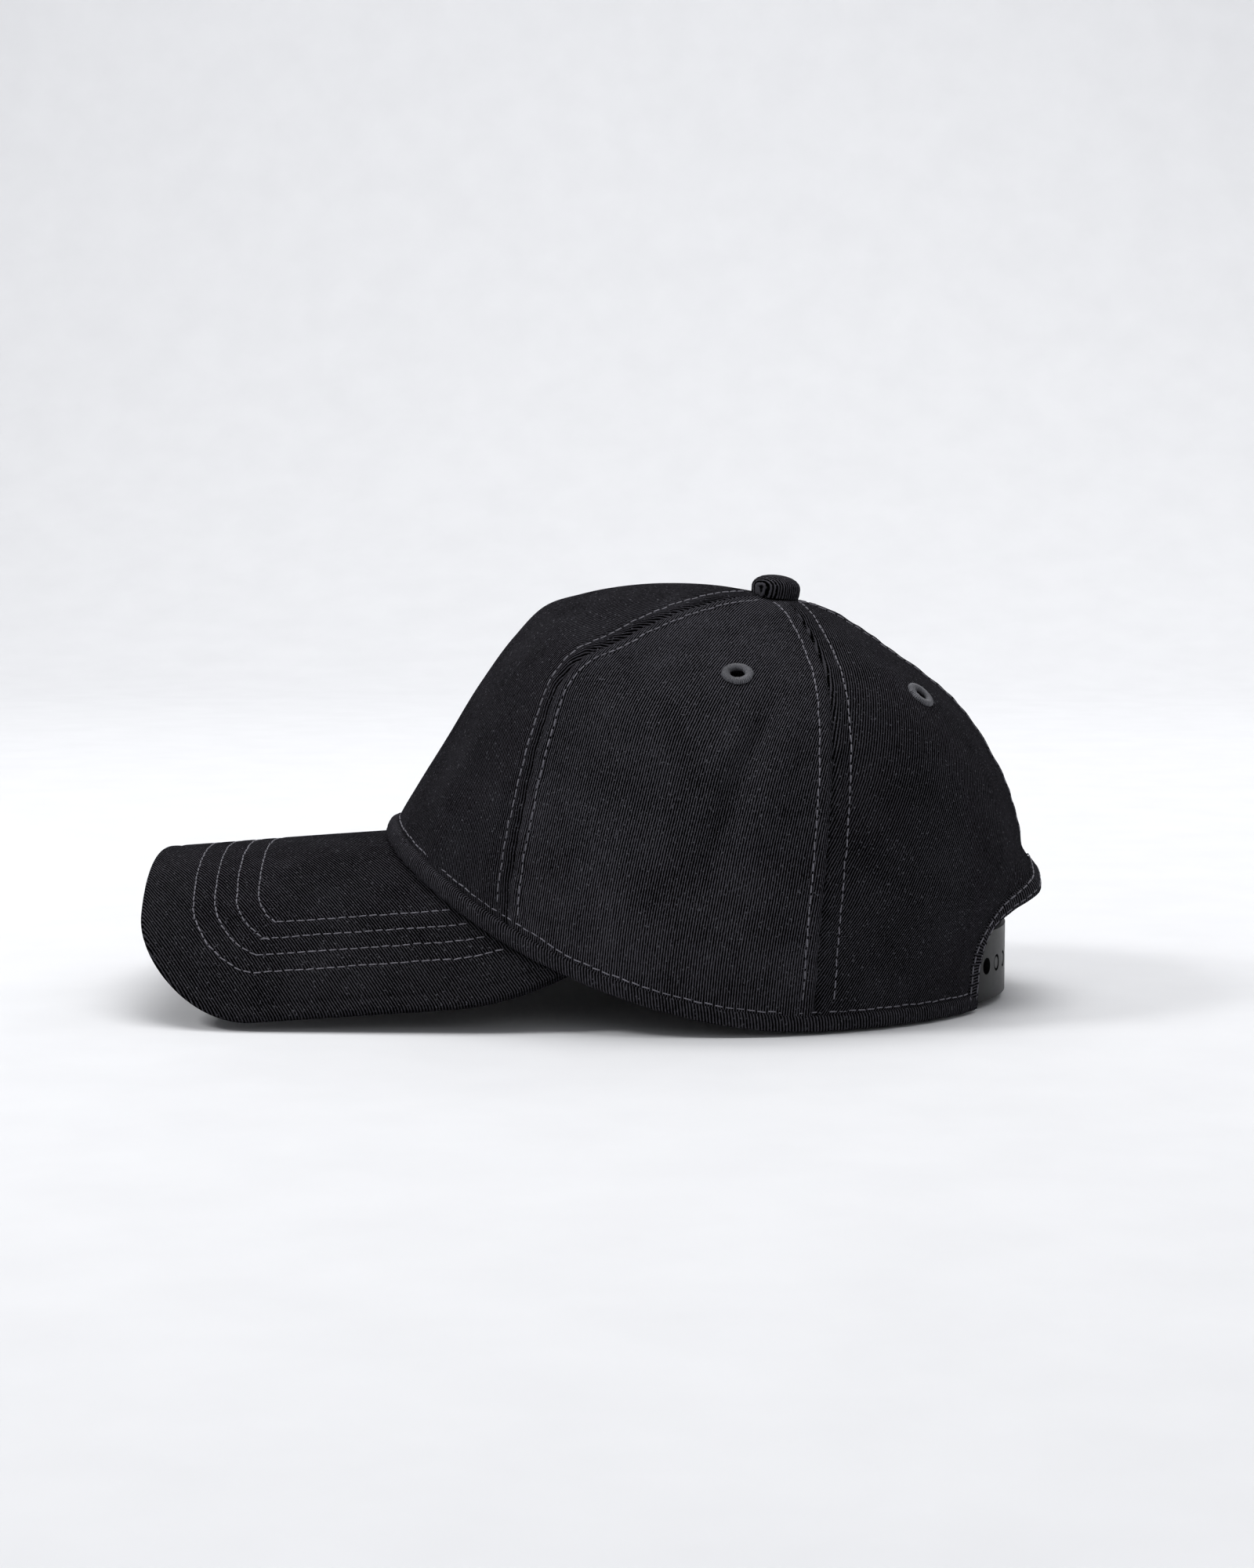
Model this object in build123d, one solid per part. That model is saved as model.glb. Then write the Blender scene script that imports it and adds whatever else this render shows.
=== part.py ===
"""Five-panel baseball cap with a curved visor and a plastic snap closure.

Frame: +Z up, the visor points along -Y, +X is the wearer's left. The origin is the
centre of the footprint, on the surface that the cap stands on. Millimetres.

The crown is one smooth surface, described by three profiles (front, side, rear) that
all start on the crown's lower edge and meet at the button. Every sewn layer is a strip
of that surface, between two depths: positive is outside, negative is inside.
"""
import math
import os
from functools import lru_cache

from build123d import *

FOOTPRINT_SHIFT_Y = -3.2  # brings the footprint's centre to the origin, applied last

# Crown: lower edge in plan, an ellipse.
EDGE_HALF_WIDTH = 84.0
EDGE_CENTRE_Y = 32.0
EDGE_HALF_LENGTH = 92.0
REST_ANGLE = 114.0        # the lower edge lies flat from this angle, counted from the front
VISOR_END_ANGLE = 63.0    # half of the lower edge that carries the visor

# Crown profiles. Each row: share of the way up, then (out, height) of front, side, rear.
PROFILE_SHARE = [0.0, 0.12, 0.24, 0.36, 0.46, 0.54, 0.62, 0.72, 0.86, 1.0]
FRONT_PROFILE = [(-60.0, 47.0), (-51.0, 63.0), (-41.5, 78.0), (-31.8, 93.5), (-22.5, 106.5),
                 (-13.5, 115.5), (-2.0, 119.2), (13.3, 121.8), (34.7, 122.2), (56.0, 119.0)]
SIDE_PROFILE = [(84.0, 0.0), (84.0, 20.0), (81.5, 39.6), (77.8, 59.0), (73.0, 75.0),
                (67.3, 86.5), (58.0, 97.0), (43.0, 105.0), (20.5, 114.5), (0.0, 119.0)]
REAR_PROFILE = [(124.4, 0.0), (125.6, 18.8), (130.2, 37.2), (127.8, 54.5), (121.7, 70.0),
                (113.5, 83.0), (104.2, 92.7), (91.2, 102.4), (72.4, 114.4), (56.0, 119.0)]
RING_CENTRE_Y = [32.0, 33.0, 34.5, 37.0, 40.0, 42.0, 44.0, 48.0, 52.5, 56.0]
RING_SQUARENESS = [2.0, 2.05, 2.12, 2.18, 2.2, 2.1, 2.05, 2.0, 2.0, 2.0]
FRONT_HEIGHT_POWER = [1.0, 0.80, 0.62, 0.55, 0.50, 0.80, 1.25, 1.2, 1.2, 1.0]
PROFILE_LENGTH = 156.0    # about the same on every profile

# Seams, as angles about the button, counted from the front.
BUTTON_Y = 56.0
BUTTON_Z = 119.7
FRONT_SEAM_ANGLE = 42.7
REAR_SEAM_ANGLE_LOW = 99.0
REAR_SEAM_ANGLE_HIGH = 115.0
PANEL_GAP = 0.2

# Layers of cloth, as thicknesses or depths below the outer surface.
TWILL = 0.8
STIFFENER_DEPTHS = (-1.5, -2.1)
TAPE_DEPTHS = (-1.15, -1.65)
TAPE_WIDTH = 16.0
EDGE_HEM_HEIGHT = 4.5
EDGE_HEM_DEPTHS = (0.9, -1.4)
FRONT_ROLL_EXTRA = 0.8    # the hem is fatter where it meets the visor
PANEL_START = 4.8         # panels, tapes and stiffener start above the hem
TAPE_START = 8.0
SWEATBAND_DEPTHS = (-3.4, -4.4)
SWEATBAND_HEIGHT = 33.0
SWEATBAND_START = 1.5
LABEL_DEPTHS = (-4.6, -4.9)

# Rear arch opening.
ARCH_HALF_WIDTH = 36.5
ARCH_SPRING_Z = 12.0
ARCH_TOP_Z = 35.5
BINDING_WIDTH = 5.5
BINDING_DEPTHS = (0.8, -1.5)
LIP_FLARE = 7.0           # how far the top of the arch stands out
HEM_END_ANGLE = 150.0     # past the edge of the binding, which trims the hem

# Visor: a bent plate, part of a cylinder that tips down towards the front.
VISOR_R = 102.0           # outer face of the top cover
VISOR_TILT = 4.5
VISOR_ROOT_Y = -60.0
VISOR_ROOT_Z = 47.0
VISOR_TIP_Y = -130.5
VISOR_HALF_WIDTH = 82.0
VISOR_FRONT_R = 400.0
VISOR_CORNER_R = 38.0
VISOR_SIDE_END_Y = -36.0
VISOR_COVER = 0.7
VISOR_BOARD = 2.2
LAYER_GAP = 0.15
BOARD_INSET = 1.6
VISOR_TUCK = 1.2          # how far the visor reaches under the hem
VISOR_ROOT_CORNER = (74.0, -4.0)
VISOR_BULGE_INSET = 2.0   # the side's curve between its straight part and the root corner
VISOR_BULGE_Y = -19.0
VISOR_PRISM_LOW = -20.0
VISOR_PRISM_HEIGHT = 100.0

# Eyelets: embroidered rings on the side and rear panels.
EYELET_R = 4.8
EYELET_HOLE_R = 2.1
EYELET_BARREL_R = 2.7
EYELET_PANEL_HOLE_R = 2.85
EYELET_HEIGHT = 0.7
EYELET_STAND_OFF = 0.1
EYELET_BARREL_LENGTH = 1.2
EYELET_ROUNDING = 0.35
EYELET_CUT = 6.0          # length of the cutting cylinders
SIDE_EYELET = (79.5, 0.64)     # angle about the button, share of the way up
REAR_EYELET = (144.0, 0.60)

# Button on top.
BUTTON_R = 7.2
BUTTON_HEIGHT = 5.2
BUTTON_TILT = 6.0
BUTTON_CLOTH = 0.5
STEM_R = 1.6
BACK_R = 8.0
BACK_THICKNESS = 0.6
BACK_Z = -5.2
STEM_LENGTH = 6.9
STEM_MIDDLE_Z = -1.6
BUTTON_METAL = 0.6
SOCKET_WALL = 1.2
SOCKET_PLAY = 0.05

# Snap closure: two plastic straps that overlap across the arch.
STRAP_CENTRE_Y = 65.0
STRAP_R = 60.5            # outer face of the strap with holes
STRAP_THICKNESS = 1.2
STRAP_GAP = 0.25
STRAP_LOW_Z = 1.5
STRAP_HIGH_Z = 21.5
STRAP_TIP_CORNER_R = 7.0
STRAP_ROOT_ANGLE = 34.4
HOLE_STRAP_REACH = 25.0   # angle past the middle
PEG_STRAP_REACH = 23.5
SNAP_PITCH = 7.85         # degrees
SNAP_COUNT = 7
PEG_R = 1.75
HOLE_R = 2.5
PEG_BELOW_FACE = 0.15
FLANGE_DEPTHS = (-1.8, -3.0)
FLANGE_ANGLES = (139.0, 149.3)

TOP_SHARE = 0.976         # leaves the hole for the button's stem
ACROSS = 11               # sections across a panel
UP = 13                   # points up a section


def smooth(x):
    """Ease from 0 to 1."""
    x = min(max(x, 0.0), 1.0)
    return x * x * (3.0 - 2.0 * x)


def visor_height(x, y):
    """Height of the visor's top face."""
    centre = VISOR_ROOT_Z + (y - VISOR_ROOT_Y) * math.tan(math.radians(VISOR_TILT))
    return centre - VISOR_R + math.sqrt(VISOR_R ** 2 - x * x)


def edge_plan(angle):
    """Point of the crown's lower edge in plan, angle in degrees from the front."""
    a = math.radians(angle)
    return EDGE_HALF_WIDTH * math.sin(a), EDGE_CENTRE_Y - EDGE_HALF_LENGTH * math.cos(a)


def edge_height(angle):
    """Height of the lower edge: on the visor in front, then easing down to the table."""
    angle = abs(angle)
    if angle >= REST_ANGLE:
        return 0.0
    if angle <= VISOR_END_ANGLE:
        return visor_height(*edge_plan(angle))
    span = REST_ANGLE - VISOR_END_ANGLE
    step = 0.5
    start = visor_height(*edge_plan(VISOR_END_ANGLE))
    slope = (start - visor_height(*edge_plan(VISOR_END_ANGLE - step))) / step * span
    s = (angle - VISOR_END_ANGLE) / span
    return start * (1.0 - s) ** 2 * (1.0 + (2.0 + slope / start) * s)


def hermite(values, share):
    """Smooth curve through values at PROFILE_SHARE."""
    k = PROFILE_SHARE
    i = min(max(sum(1 for s in k if s <= share) - 1, 0), len(k) - 2)

    def slope(j):
        if j == 0:
            return (values[1] - values[0]) / (k[1] - k[0])
        if j == len(k) - 1:
            return (values[-1] - values[-2]) / (k[-1] - k[-2])
        before = (values[j] - values[j - 1]) / (k[j] - k[j - 1])
        after = (values[j + 1] - values[j]) / (k[j + 1] - k[j])
        low, high = k[j] - k[j - 1], k[j + 1] - k[j]
        return (before * high + after * low) / (low + high)

    h = k[i + 1] - k[i]
    s = (share - k[i]) / h
    return ((2 * s ** 3 - 3 * s ** 2 + 1) * values[i] + (s ** 3 - 2 * s ** 2 + s) * h * slope(i)
            + (3 * s ** 2 - 2 * s ** 3) * values[i + 1] + (s ** 3 - s ** 2) * h * slope(i + 1))


@lru_cache(maxsize=None)
def ring(share):
    """The crown's level ring at a share of the way up."""
    columns = [[p[0] for p in FRONT_PROFILE], [p[1] for p in FRONT_PROFILE],
               [p[0] for p in SIDE_PROFILE], [p[1] for p in SIDE_PROFILE],
               [p[0] for p in REAR_PROFILE], [p[1] for p in REAR_PROFILE],
               RING_CENTRE_Y, RING_SQUARENESS, FRONT_HEIGHT_POWER]
    return [hermite(column, share) for column in columns]


def ring_plan(angle, share):
    """Point of a ring in plan, for an angle from 0 in front to 180 behind."""
    front_y, _, side_x, _, rear_y, _, centre_y, square, _ = ring(share)
    a = math.radians(angle)
    x = side_x * max(math.sin(a), 0.0) ** (2.0 / square)
    along = abs(math.cos(a)) ** (2.0 / square)
    reach = centre_y - front_y if angle < 90.0 else rear_y - centre_y
    return x, centre_y - reach * along if angle < 90.0 else centre_y + reach * along


def ring_angle(azimuth, share):
    """Ring angle that lies at an azimuth about the button."""
    low, high = 0.0, 180.0
    for _ in range(36):
        middle = 0.5 * (low + high)
        x, y = ring_plan(middle, share)
        if math.degrees(math.atan2(x, BUTTON_Y - y)) < azimuth:
            low = middle
        else:
            high = middle
    return 0.5 * (low + high)


@lru_cache(maxsize=None)
def crown_point(azimuth, share):
    """Point of the crown's outer surface. Azimuth is negative on the wearer's right."""
    sign = -1.0 if azimuth < 0.0 else 1.0
    azimuth = abs(azimuth)
    if azimuth > 180.0:
        azimuth = 360.0 - azimuth
        sign = -sign
    angle = ring_angle(azimuth, share)
    x, y = ring_plan(angle, share)
    _, front_z, _, side_z, _, rear_z, _, _, power = ring(share)
    fore = math.cos(math.radians(90.0 * angle / 98.0)) ** 2 if angle < 98.0 else 0.0
    aft = math.cos(math.radians(90.0 * (180.0 - angle) / 98.0)) ** 2 if angle > 82.0 else 0.0
    z = side_z + (front_z - side_z) * fore ** power + (rear_z - side_z) * aft
    near_edge = 1.0 - smooth(share / 0.24)
    z += near_edge * (edge_height(angle) - FRONT_PROFILE[0][1] * fore)
    y += LIP_FLARE * smooth((45.0 - z) / 14.0) * smooth((34.0 - x) / 17.0) * smooth((y - 100.0) / 8.0)
    return sign * x, y, z


def layer_point(azimuth, share, depth):
    """Point at a depth along the outward normal of the crown's surface."""
    x, y, z = crown_point(azimuth, share)
    here = Vector(x, y, z)
    if depth == 0.0:
        return here
    da, ds = 0.4, 0.004
    along = Vector(*crown_point(azimuth + da, share)) - Vector(*crown_point(azimuth - da, share))
    up = Vector(*crown_point(azimuth, share + ds)) - Vector(*crown_point(azimuth, max(share - ds, 0.0)))
    return here + along.cross(up).normalized() * depth


def strip(sections):
    """Solid through closed sections, each a pair of lists: outer and inner points, going up."""
    wires = []
    for outer, inner in sections:
        edges = [Edge.make_spline(outer), Edge.make_line(outer[-1], inner[-1]),
                 Edge.make_spline(inner[::-1]), Edge.make_line(inner[0], outer[0])]
        wires.append(Wire(edges))
    ends = [Face.make_surface_from_curves(Edge.make_spline(outer), Edge.make_spline(inner))
            for outer, inner in (sections[0], sections[-1])]
    return Solid(Shell(Shell.make_loft(wires).faces() + ends))


def crown_strip(azimuth_from, azimuth_to, share_from, share_to, depths, across=ACROSS, up=UP):
    """Layer of the crown between two azimuths, each a number or a function of share."""
    sections = []
    for i in range(across):
        part = i / (across - 1)
        outer, inner = [], []
        for j in range(up):
            share = share_from + (share_to - share_from) * j / (up - 1)
            start = azimuth_from(share) if callable(azimuth_from) else azimuth_from
            end = azimuth_to(share) if callable(azimuth_to) else azimuth_to
            azimuth = start + (end - start) * part
            outer.append(layer_point(azimuth, share, depths[0]))
            inner.append(layer_point(azimuth, share, depths[1]))
        sections.append((outer, inner))
    return strip(sections)


def share_at(height):
    """Share of the way up for a distance along the cloth from the lower edge."""
    return height / PROFILE_LENGTH


def beside(seam, offset):
    """Azimuth that runs beside a seam, offset in mm, as a function of share."""
    def azimuth(share):
        angle = seam(share)
        x, y, _ = crown_point(angle, share)
        return angle + math.degrees(offset / math.hypot(x, y - BUTTON_Y))
    return azimuth


def front_seam(share):
    return FRONT_SEAM_ANGLE


def rear_seam(share):
    return REAR_SEAM_ANGLE_LOW + (REAR_SEAM_ANGLE_HIGH - REAR_SEAM_ANGLE_LOW) * share ** 1.5


def rear_centre_seam(share):
    return 180.0


def mirrored(seam):
    return lambda share: -seam(share)


def other_side(shape):
    """The same shape on the wearer's right."""
    return mirror(shape, about=Plane.YZ)


# ---- crown ---------------------------------------------------------------------------

def arch_prism(grow):
    """Prism through the rear of the crown with the arch's outline, grown by a margin."""
    half = ARCH_HALF_WIDTH + grow
    rise = ARCH_TOP_Z - ARCH_SPRING_Z + grow
    plane = Plane(origin=(0, 100, ARCH_SPRING_Z), x_dir=(1, 0, 0), z_dir=(0, 1, 0))
    outline = Ellipse(half, rise) + Pos(0, half) * Rectangle(2 * half, 2 * half)
    return extrude(plane * outline, amount=60)


def eyelet_place(spot, side):
    """Frame on the outer surface, with Z along the outward normal."""
    azimuth, share = spot
    here = layer_point(side * azimuth, share, 0.0)
    normal = layer_point(side * azimuth, share, 1.0) - here
    return Plane(origin=here, z_dir=normal)


def make_panels():
    """Five cloth panels."""
    gap = PANEL_GAP / 2
    low, high = share_at(PANEL_START), TOP_SHARE
    skin = (0.0, -TWILL)
    front = crown_strip(beside(mirrored(front_seam), gap), beside(front_seam, -gap), low, high, skin, 15)
    side = crown_strip(beside(front_seam, gap), beside(rear_seam, -gap), low, high, skin)
    rear = crown_strip(beside(rear_seam, gap), beside(rear_centre_seam, -gap), low, high, skin, 15)
    rear -= arch_prism(BINDING_WIDTH + LAYER_GAP)
    side -= eyelet_place(SIDE_EYELET, 1) * Cylinder(EYELET_PANEL_HOLE_R, EYELET_CUT)
    rear -= eyelet_place(REAR_EYELET, 1) * Cylinder(EYELET_PANEL_HOLE_R, EYELET_CUT)
    return {"front_panel": front,
            "left_side_panel": side, "right_side_panel": other_side(side),
            "left_rear_panel": rear, "right_rear_panel": other_side(rear)}


def make_linings():
    """Buckram behind the front panel, and a tape over each seam."""
    half = TAPE_WIDTH / 2
    low, high = share_at(TAPE_START), 0.88
    front_tape = crown_strip(beside(front_seam, -half), beside(front_seam, half), low, high, TAPE_DEPTHS, 5)
    rear_tape = crown_strip(beside(rear_seam, -half), beside(rear_seam, half), low, high, TAPE_DEPTHS, 5)
    centre_low = share_at(ARCH_TOP_Z + BINDING_WIDTH + 10.0)
    centre_tape = crown_strip(beside(rear_centre_seam, -half), beside(rear_centre_seam, half),
                              centre_low, high, TAPE_DEPTHS, 5)
    stiffener = crown_strip(beside(mirrored(front_seam), half + 0.5), beside(front_seam, -half - 0.5),
                            low, 0.80, STIFFENER_DEPTHS, 13)
    return {"front_stiffener": stiffener,
            "front_left_seam_tape": front_tape, "front_right_seam_tape": other_side(front_tape),
            "rear_left_seam_tape": rear_tape, "rear_right_seam_tape": other_side(rear_tape),
            "rear_centre_seam_tape": centre_tape}


def make_edge_hem():
    """Rolled lower edge of the crown, which stands on the table and on the visor."""
    sections = []
    count = 61
    for i in range(count):
        azimuth = HEM_END_ANGLE * (2.0 * i / (count - 1) - 1.0)
        angle = ring_angle(abs(azimuth), 0.0)
        on_visor = smooth((VISOR_END_ANGLE + 4.0 - angle) / 6.0)
        on_table = smooth((angle - REST_ANGLE + 12.0) / 10.0)
        out = EDGE_HEM_DEPTHS[0] + FRONT_ROLL_EXTRA * smooth((VISOR_END_ANGLE + 10.0 - angle) / 20.0)
        drop = Vector(0, 0, -3.5 * on_visor - 1.0 * on_table)
        outer, inner = [], []
        for j in range(4):
            share = share_at(EDGE_HEM_HEIGHT * j / 3)
            sink = drop * (1.0 - j / 3)
            outer.append(layer_point(azimuth, share, out) + sink)
            inner.append(layer_point(azimuth, share, EDGE_HEM_DEPTHS[1]) + sink)
        sections.append((outer, inner))
    hem = strip(sections)
    hem -= visor_cylinder(VISOR_R + LAYER_GAP, 0.0) & Pos(0, -104, 40) * Box(200, 200, 120)
    hem -= Pos(0, 0, -20) * Box(400, 400, 40)
    return hem - arch_prism(BINDING_WIDTH + LAYER_GAP)


def make_arch_binding():
    """Turned and stitched edge of the rear arch."""
    band = crown_strip(132.0, 228.0, 0.003, 0.34, BINDING_DEPTHS, 21)
    return band & arch_prism(BINDING_WIDTH) - arch_prism(0.0)


def make_sweatband():
    low = share_at(SWEATBAND_START)
    high = share_at(SWEATBAND_START + SWEATBAND_HEIGHT)
    end = HEM_END_ANGLE - 3.0
    return crown_strip(-end, end, low, high, SWEATBAND_DEPTHS, 49, 6)


def make_label():
    """Blank care label sewn on the sweatband."""
    return crown_strip(118.0, 136.0, share_at(10.0), share_at(28.0), LABEL_DEPTHS, 7, 4)


# ---- visor ---------------------------------------------------------------------------

def visor_cylinder(outer_r, inner_r):
    """Long tube or bar along the visor's tilted axis."""
    tilt = math.radians(VISOR_TILT)
    along = (0, math.cos(tilt), math.sin(tilt))
    plane = Plane(origin=(0, VISOR_ROOT_Y, VISOR_ROOT_Z - VISOR_R), x_dir=(1, 0, 0), z_dir=along)
    section = Circle(outer_r)
    if inner_r > 0:
        section -= Circle(inner_r)
    return extrude(plane * section, amount=110, both=True)


def visor_prism(inset, squeeze):
    """Upright prism with the visor's outline in plan, its width squeezed by a factor."""
    half = (VISOR_HALF_WIDTH - inset) * squeeze
    corner = VISOR_CORNER_R - inset
    front_r = VISOR_FRONT_R - inset
    tip = VISOR_TIP_Y + inset
    corner_x = half - corner
    front_centre = tip + front_r
    corner_y = front_centre - math.sqrt((front_r - corner) ** 2 - corner_x ** 2)
    turn = math.atan2(corner_x, front_centre - corner_y)
    meet = (corner_x + corner * math.sin(turn), corner_y - corner * math.cos(turn))
    middle = (math.pi / 2 + turn) / 2
    bend = (corner_x + corner * math.sin(middle), corner_y - corner * math.cos(middle))
    root = VISOR_ROOT_CORNER
    bulge = (half - VISOR_BULGE_INSET, VISOR_BULGE_Y)
    edges = [Edge.make_three_point_arc((-meet[0], meet[1]), (0, tip), meet),
             Edge.make_three_point_arc(meet, bend, (half, corner_y)),
             Edge.make_line((half, corner_y), (half, VISOR_SIDE_END_Y)),
             Edge.make_three_point_arc((half, VISOR_SIDE_END_Y), bulge, root),
             Edge.make_line(root, (-root[0], root[1])),
             Edge.make_three_point_arc((-root[0], root[1]), (-bulge[0], bulge[1]), (-half, VISOR_SIDE_END_Y)),
             Edge.make_line((-half, VISOR_SIDE_END_Y), (-half, corner_y)),
             Edge.make_three_point_arc((-half, corner_y), (-bend[0], bend[1]), (-meet[0], meet[1]))]
    prism = Pos(0, 0, VISOR_PRISM_LOW) * extrude(Face(Wire(edges)), amount=VISOR_PRISM_HEIGHT)
    tuck = VISOR_TUCK - inset
    inside = Ellipse(EDGE_HALF_WIDTH - tuck, EDGE_HALF_LENGTH - tuck)
    return prism - Pos(0, EDGE_CENTRE_Y, VISOR_PRISM_LOW) * extrude(inside, amount=VISOR_PRISM_HEIGHT)


def visor_layer(outer_r, inner_r, inset):
    return visor_cylinder(outer_r, inner_r) & visor_prism(inset, (outer_r + inner_r) / 2 / VISOR_R)


def make_visor():
    """Stiff board between two cloth covers that meet along the rim."""
    board_top = VISOR_R - VISOR_COVER - LAYER_GAP
    board_low = board_top - VISOR_BOARD
    middle = (board_top + board_low) / 2
    bottom = board_low - LAYER_GAP - VISOR_COVER
    pocket = visor_layer(board_top + LAYER_GAP, board_low - LAYER_GAP, BOARD_INSET - LAYER_GAP)
    return {"visor_board": visor_layer(board_top, board_low, BOARD_INSET),
            "visor_top_cover": visor_layer(VISOR_R, middle + LAYER_GAP / 2, 0.0) - pocket,
            "visor_bottom_cover": visor_layer(middle - LAYER_GAP / 2, bottom, 0.0) - pocket}


# ---- trims ---------------------------------------------------------------------------

def make_eyelets():
    """Stitched rings, each a flat collar on the cloth and a short barrel through it."""
    collar = Pos(0, 0, EYELET_STAND_OFF + EYELET_HEIGHT / 2) * Cylinder(EYELET_R, EYELET_HEIGHT)
    collar = fillet(collar.edges().group_by(Axis.Z)[-1], EYELET_ROUNDING)
    barrel_z = 2 * EYELET_STAND_OFF - EYELET_BARREL_LENGTH / 2
    barrel = Pos(0, 0, barrel_z) * Cylinder(EYELET_BARREL_R, EYELET_BARREL_LENGTH)
    eyelet = collar + barrel - Cylinder(EYELET_HOLE_R, EYELET_CUT)
    return {"left_side_eyelet": eyelet_place(SIDE_EYELET, 1) * eyelet,
            "right_side_eyelet": eyelet_place(SIDE_EYELET, -1) * eyelet,
            "left_rear_eyelet": eyelet_place(REAR_EYELET, 1) * eyelet,
            "right_rear_eyelet": eyelet_place(REAR_EYELET, -1) * eyelet}


def dome(radius, height):
    """Solid cap shape: a short wall and a shallow crown."""
    wall = 0.45 * height
    profile = Polyline((0, 0), (radius, 0), (radius, wall)) + Edge.make_spline(
        [(radius, wall), (0.62 * radius, 0.9 * height), (0, height)], tangents=[(0, 1), (-1, 0)])
    face = make_face(profile.edges() + Line((0, height), (0, 0)).edges())
    return revolve(Plane.XZ * face, Axis.Z)


def make_button():
    """Cloth-covered metal button, held by a stem and a disc inside the crown."""
    place = Pos(0, BUTTON_Y, BUTTON_Z) * Rot(X=-BUTTON_TILT)
    metal_r = BUTTON_R - BUTTON_CLOTH - LAYER_GAP
    metal_top = BUTTON_HEIGHT - BUTTON_CLOTH - LAYER_GAP
    room = dome(metal_r + LAYER_GAP, metal_top + LAYER_GAP)
    cover = dome(BUTTON_R, BUTTON_HEIGHT) - room
    shell = dome(metal_r, metal_top) - dome(metal_r - BUTTON_METAL, metal_top - BUTTON_METAL)
    shell += Pos(0, 0, metal_top / 2) * Cylinder(STEM_R + SOCKET_WALL, metal_top - BUTTON_METAL)
    shell -= Pos(0, 0, metal_top / 2 - SOCKET_WALL) * Cylinder(STEM_R + SOCKET_PLAY, metal_top)
    back = Pos(0, 0, BACK_Z) * Cylinder(BACK_R, BACK_THICKNESS)
    back += Pos(0, 0, STEM_MIDDLE_Z) * Cylinder(STEM_R, STEM_LENGTH)
    return {"button_cover": place * cover, "button_shell": place * shell, "button_back": place * back}


# ---- closure -------------------------------------------------------------------------

def strap_point(radius, angle):
    """Point in plan on an arc about the strap centre. Angle 0 is straight back."""
    a = math.radians(angle)
    return radius * math.sin(a), STRAP_CENTRE_Y + radius * math.cos(a)


def strap_bar(outer_r, tip_angle):
    """Curved bar from a rounded root at +STRAP_ROOT_ANGLE to a rounded tip."""
    inner_r = outer_r - STRAP_THICKNESS
    middle_r = (outer_r + inner_r) / 2
    height = STRAP_HIGH_Z - STRAP_LOW_Z
    middle_angle = (STRAP_ROOT_ANGLE + tip_angle) / 2
    edges = [Edge.make_three_point_arc(*[strap_point(outer_r, a)
                                         for a in (STRAP_ROOT_ANGLE, middle_angle, tip_angle)]),
             Edge.make_line(strap_point(outer_r, tip_angle), strap_point(inner_r, tip_angle)),
             Edge.make_three_point_arc(*[strap_point(inner_r, a)
                                         for a in (tip_angle, middle_angle, STRAP_ROOT_ANGLE)]),
             Edge.make_line(strap_point(inner_r, STRAP_ROOT_ANGLE), strap_point(outer_r, STRAP_ROOT_ANGLE))]
    bar = extrude(Face(Wire(edges)), amount=height)
    root_x, root_y = strap_point(middle_r, STRAP_ROOT_ANGLE)
    bar += Pos(root_x, root_y, height / 2) * Cylinder(STRAP_THICKNESS / 2, height)
    bar = Pos(0, 0, STRAP_LOW_Z) * bar
    return bar & tip_rounding(middle_r, tip_angle)


def tip_rounding(radius, tip_angle):
    """Everything on the root's side of a strap's rounded free end."""
    half = (STRAP_HIGH_Z - STRAP_LOW_Z) / 2
    middle_z = STRAP_LOW_Z + half
    end_angle = tip_angle + math.degrees(half / radius)
    x, y = strap_point(radius, end_angle)
    radial = Plane(origin=(x, y, middle_z), x_dir=(math.cos(math.radians(end_angle)),
                                                   -math.sin(math.radians(end_angle)), 0),
                   z_dir=(math.sin(math.radians(end_angle)), math.cos(math.radians(end_angle)), 0))
    plate = Pos(60.0 - half, 0) * RectangleRounded(120.0, 2 * half + 0.001, STRAP_TIP_CORNER_R)
    return extrude(radial * plate, amount=60, both=True)


def snap_angles(first):
    return [first + SNAP_PITCH * i for i in range(SNAP_COUNT)]


def snap_cylinder(angle, radius, from_r, to_r):
    """Round bar along a strap radius, halfway up the strap."""
    middle_z = (STRAP_HIGH_Z + STRAP_LOW_Z) / 2
    a = math.radians(angle)
    start_x, start_y = strap_point(from_r, angle)
    plane = Plane(origin=(start_x, start_y, middle_z), z_dir=(math.sin(a), math.cos(a), 0))
    return extrude(plane * Circle(radius), amount=to_r - from_r)


def make_closure():
    """Strap with holes on the left, outside; strap with pegs on the right, inside."""
    first_hole = -2.5 * SNAP_PITCH
    hole_strap = strap_bar(STRAP_R, -HOLE_STRAP_REACH)
    for angle in snap_angles(first_hole):
        hole_strap -= snap_cylinder(angle, HOLE_R, STRAP_R - 3.0, STRAP_R + 3.0)
    peg_r = STRAP_R - STRAP_THICKNESS - STRAP_GAP
    peg_strap = other_side(strap_bar(peg_r, -PEG_STRAP_REACH))
    for angle in snap_angles(first_hole - SNAP_PITCH):
        peg_strap += snap_cylinder(angle, PEG_R, peg_r - 0.5, STRAP_R - PEG_BELOW_FACE)
    flange = crown_strip(FLANGE_ANGLES[0], FLANGE_ANGLES[1], share_at(STRAP_LOW_Z),
                         share_at(STRAP_HIGH_Z), FLANGE_DEPTHS, 7, 5)
    return {"hole_strap": hole_strap, "hole_strap_flange": flange,
            "peg_strap": peg_strap, "peg_strap_flange": other_side(flange)}


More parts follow.
